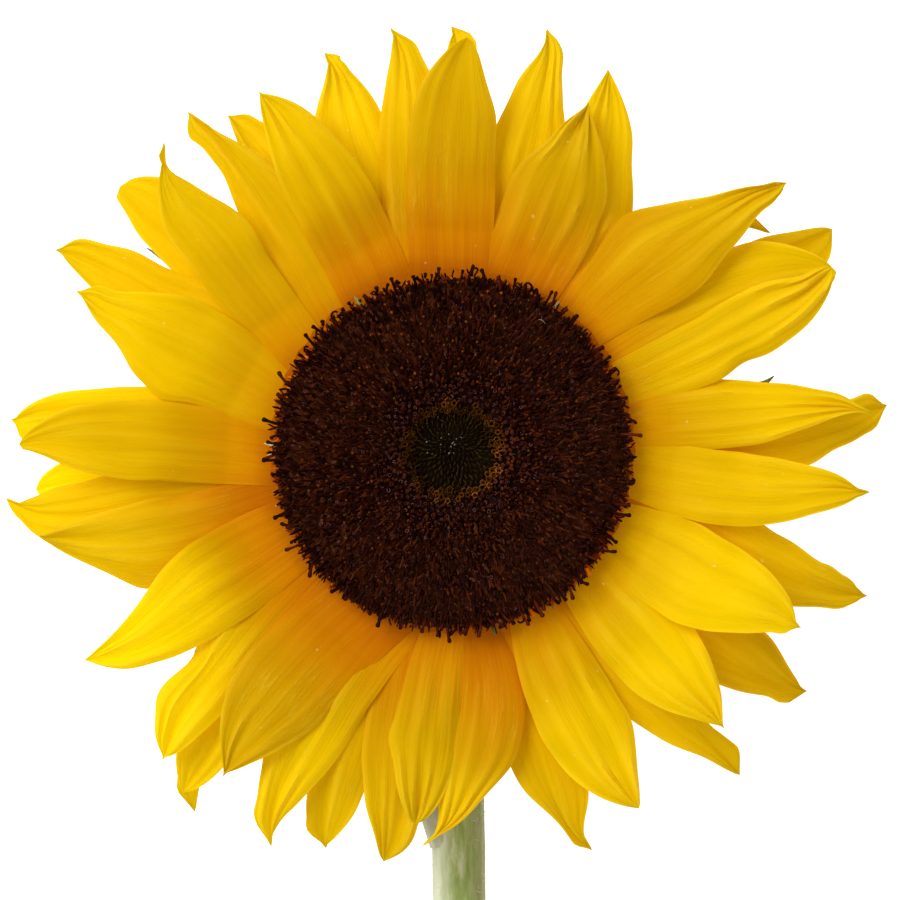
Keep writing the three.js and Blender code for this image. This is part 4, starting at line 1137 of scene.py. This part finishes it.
def leaf_blade():
    """The grid of middle points of the toothed leaf, and the values at them."""
    t, s = lattice(86, 35)
    saw = (t * LEAF_TEETH + 0.2 * np.sign(s)) % 1.0 - 0.5
    tooth = 1 + 0.22 * saw * np.minimum(1, 6 * t) * (1 - step_up(t, 0.9, 1.0)) * np.abs(s) ** 6
    half = np.maximum(LEAF_WIDTH / 2 * spread(t, 0.35, 0.1, 0.9), 0.15)
    reach = np.array(LEAF_REACH)
    middle = LEAF_FOOT + reach * t[..., None] - left_of(reach) * (s * half * tooth)[..., None]
    lines = (t * LEAF_VEINS - 1.5 * np.abs(s)) % 1.0 - 0.5
    ribs = peak(lines, 0.1) * (1 - np.abs(s) ** 4) * step_up(t, 0.02, 0.1)
    rib = peak(s * half, 0.8)
    net = 0.12 * np.sin(26 * s * half / 7 + 3) * np.sin(60 * t) * (1 - rib) * (1 - ribs)
    height = 3 - 2.2 * t + 0.6 * np.sin(9 * t) * s * s - 0.35 * ribs - 0.3 * rib + net
    middle[..., 2] = np.maximum(height, 0.7)
    return middle, {"grain": vectors(s * half, 50 * t, 2.0), "vein": np.clip(ribs * 0.8 + rib, 0, 1),
                    "dry": 0.6 * np.abs(s) ** 14}


def add_leaf(material, hair):
    """The small upper leaf with its stalk."""
    shape = Shape()
    steps, sides = 24, 12
    share = np.linspace(0, 1, steps)[:, None]
    route = spline(STALK_ROUTE, steps)
    radius = STALK_RADIUS * np.interp(share, [0, 0.3, 1], [1.8, 1.15, 0.85])
    shape.tubes(route[None], radius.T, sides, UP, grain=vectors(0.8 * np.arange(sides), 30 * share, 1.0),
                vein=1, dry=0)
    middle, values = leaf_blade()
    shape.blade(middle, LEAF_THICKNESS, **values)
    shape.piece("upper_leaf", "leaf", material)
    blade_foot = middle[2:-2:2, 1:-1:3].reshape(-1, 3) + UP * LEAF_THICKNESS / 2
    angle = np.linspace(0, np.pi, 7)[:, None]
    along = unit(np.gradient(route, axis=0))
    aside = unit(np.cross(along, UP))
    way = (np.cos(angle) * aside[:, None] + np.sin(angle) * np.cross(aside, along)[:, None])[1:]
    stalk_foot = route[1:, None] + 0.95 * radius[1:, None] * way
    foot = np.vstack([blade_foot, stalk_foot.reshape(-1, 3)])
    way = np.vstack([np.tile(UP, (len(blade_foot), 1)), way.reshape(-1, 3)])
    add_hairs("leaf_hairs", "leaf", hair, foot, way, 0.4, 0.9, 0.035)


def add_floor():
    mesh = bpy.data.meshes.new("floor")
    corners = [(x * FLOOR_REACH, y * FLOOR_REACH, 0) for x, y in ((-1, -1), (1, -1), (1, 1), (-1, 1))]
    mesh.from_pydata(corners, [], [(0, 1, 2, 3)])
    mesh.materials.append(floor_material())
    floor = linked("floor", mesh)
    floor.location.z = -FLOOR_DROP


def add_lamp(name, place, size, power, tint):
    """A square lamp that faces the middle of the floor."""
    light = bpy.data.lights.new(name, "AREA")
    light.size = size
    light.energy = power
    light.color = tint
    lamp = linked(name, light)
    lamp.location = place
    tilt = math.acos(place[2] / np.linalg.norm(place))
    lamp.rotation_euler = (tilt, 0, math.atan2(-place[1], -place[0]) + math.pi * 1.5)


def add_studio():
    add_floor()
    for lamp in LAMPS:
        add_lamp(*lamp)
    world = bpy.data.worlds.new("studio")
    world.use_nodes = True
    sky = world.node_tree.nodes["Background"]
    sky.inputs["Color"].default_value = (1, 1, 1, 1)
    sky.inputs["Strength"].default_value = SKY_STRENGTH
    bpy.context.scene.world = world
    bpy.context.scene.view_settings.view_transform = "Standard"


def add_camera():
    lens = bpy.data.cameras.new("camera")
    lens.sensor_width = SENSOR_WIDTH
    lens.lens = SENSOR_WIDTH * CAMERA_DISTANCE / VIEW_WIDTH
    lens.clip_end = 20
    camera = linked("camera", lens)
    camera.location = (HEAD + [*CAMERA_MIDDLE, CAMERA_DISTANCE + PETAL_PLANE]) * MM
    bpy.context.scene.camera = camera


def head_axis():
    """Where the frame has the axis of the head, in millimetres: the middle of the eye's round edge."""
    low, high = (np.array(corner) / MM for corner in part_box("disc_buds"))
    return np.array([high[0] - EYE_RADIUS, (low[1] + high[1]) / 2, 0.0])


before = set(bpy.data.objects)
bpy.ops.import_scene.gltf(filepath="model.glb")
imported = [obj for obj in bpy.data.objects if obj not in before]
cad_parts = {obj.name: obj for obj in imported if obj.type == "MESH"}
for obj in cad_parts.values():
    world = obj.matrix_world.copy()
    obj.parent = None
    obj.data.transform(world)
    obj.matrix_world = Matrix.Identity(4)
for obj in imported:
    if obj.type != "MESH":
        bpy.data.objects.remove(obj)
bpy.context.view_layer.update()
HEAD = head_axis()

petal = petal_material()
green = green_material("bract_skin", "b9c58f", "7f9650", "566f35", "8a7a48", glow=0.12)
leaf_green = green_material("leaf_skin", "eaecd4", "5f7f3c", "3f5f2a", "8f8348", glow=0.2)
hair = hair_material()
florets = floret_material("floret", 0.24, 0.5, 0.03, "98602c", "34160a")
chaff = floret_material("chaff", 0.5, 0.7, 0.05, "b8b070", "8a8648")
buds = floret_material("bud", 0.45, 0.7, 0.012, "6a6420", "241a06")

places = floret_places()
add_petals(petal)
add_petal_ring(petal)
add_disc_bed(florets)
add_corollas(florets, places)
add_closed_florets(florets, places)
add_styles(florets, places)
add_curls(florets, places)
add_chaff(florets, places)
add_rim_stigmas(florets)
add_rim_lobes(florets)
add_rim_chaff(chaff)
add_eye(buds, places)
add_bracts(green, hair)
add_stem(stem_material(), hair)
add_leaf(leaf_green, hair)
add_studio()
add_camera()
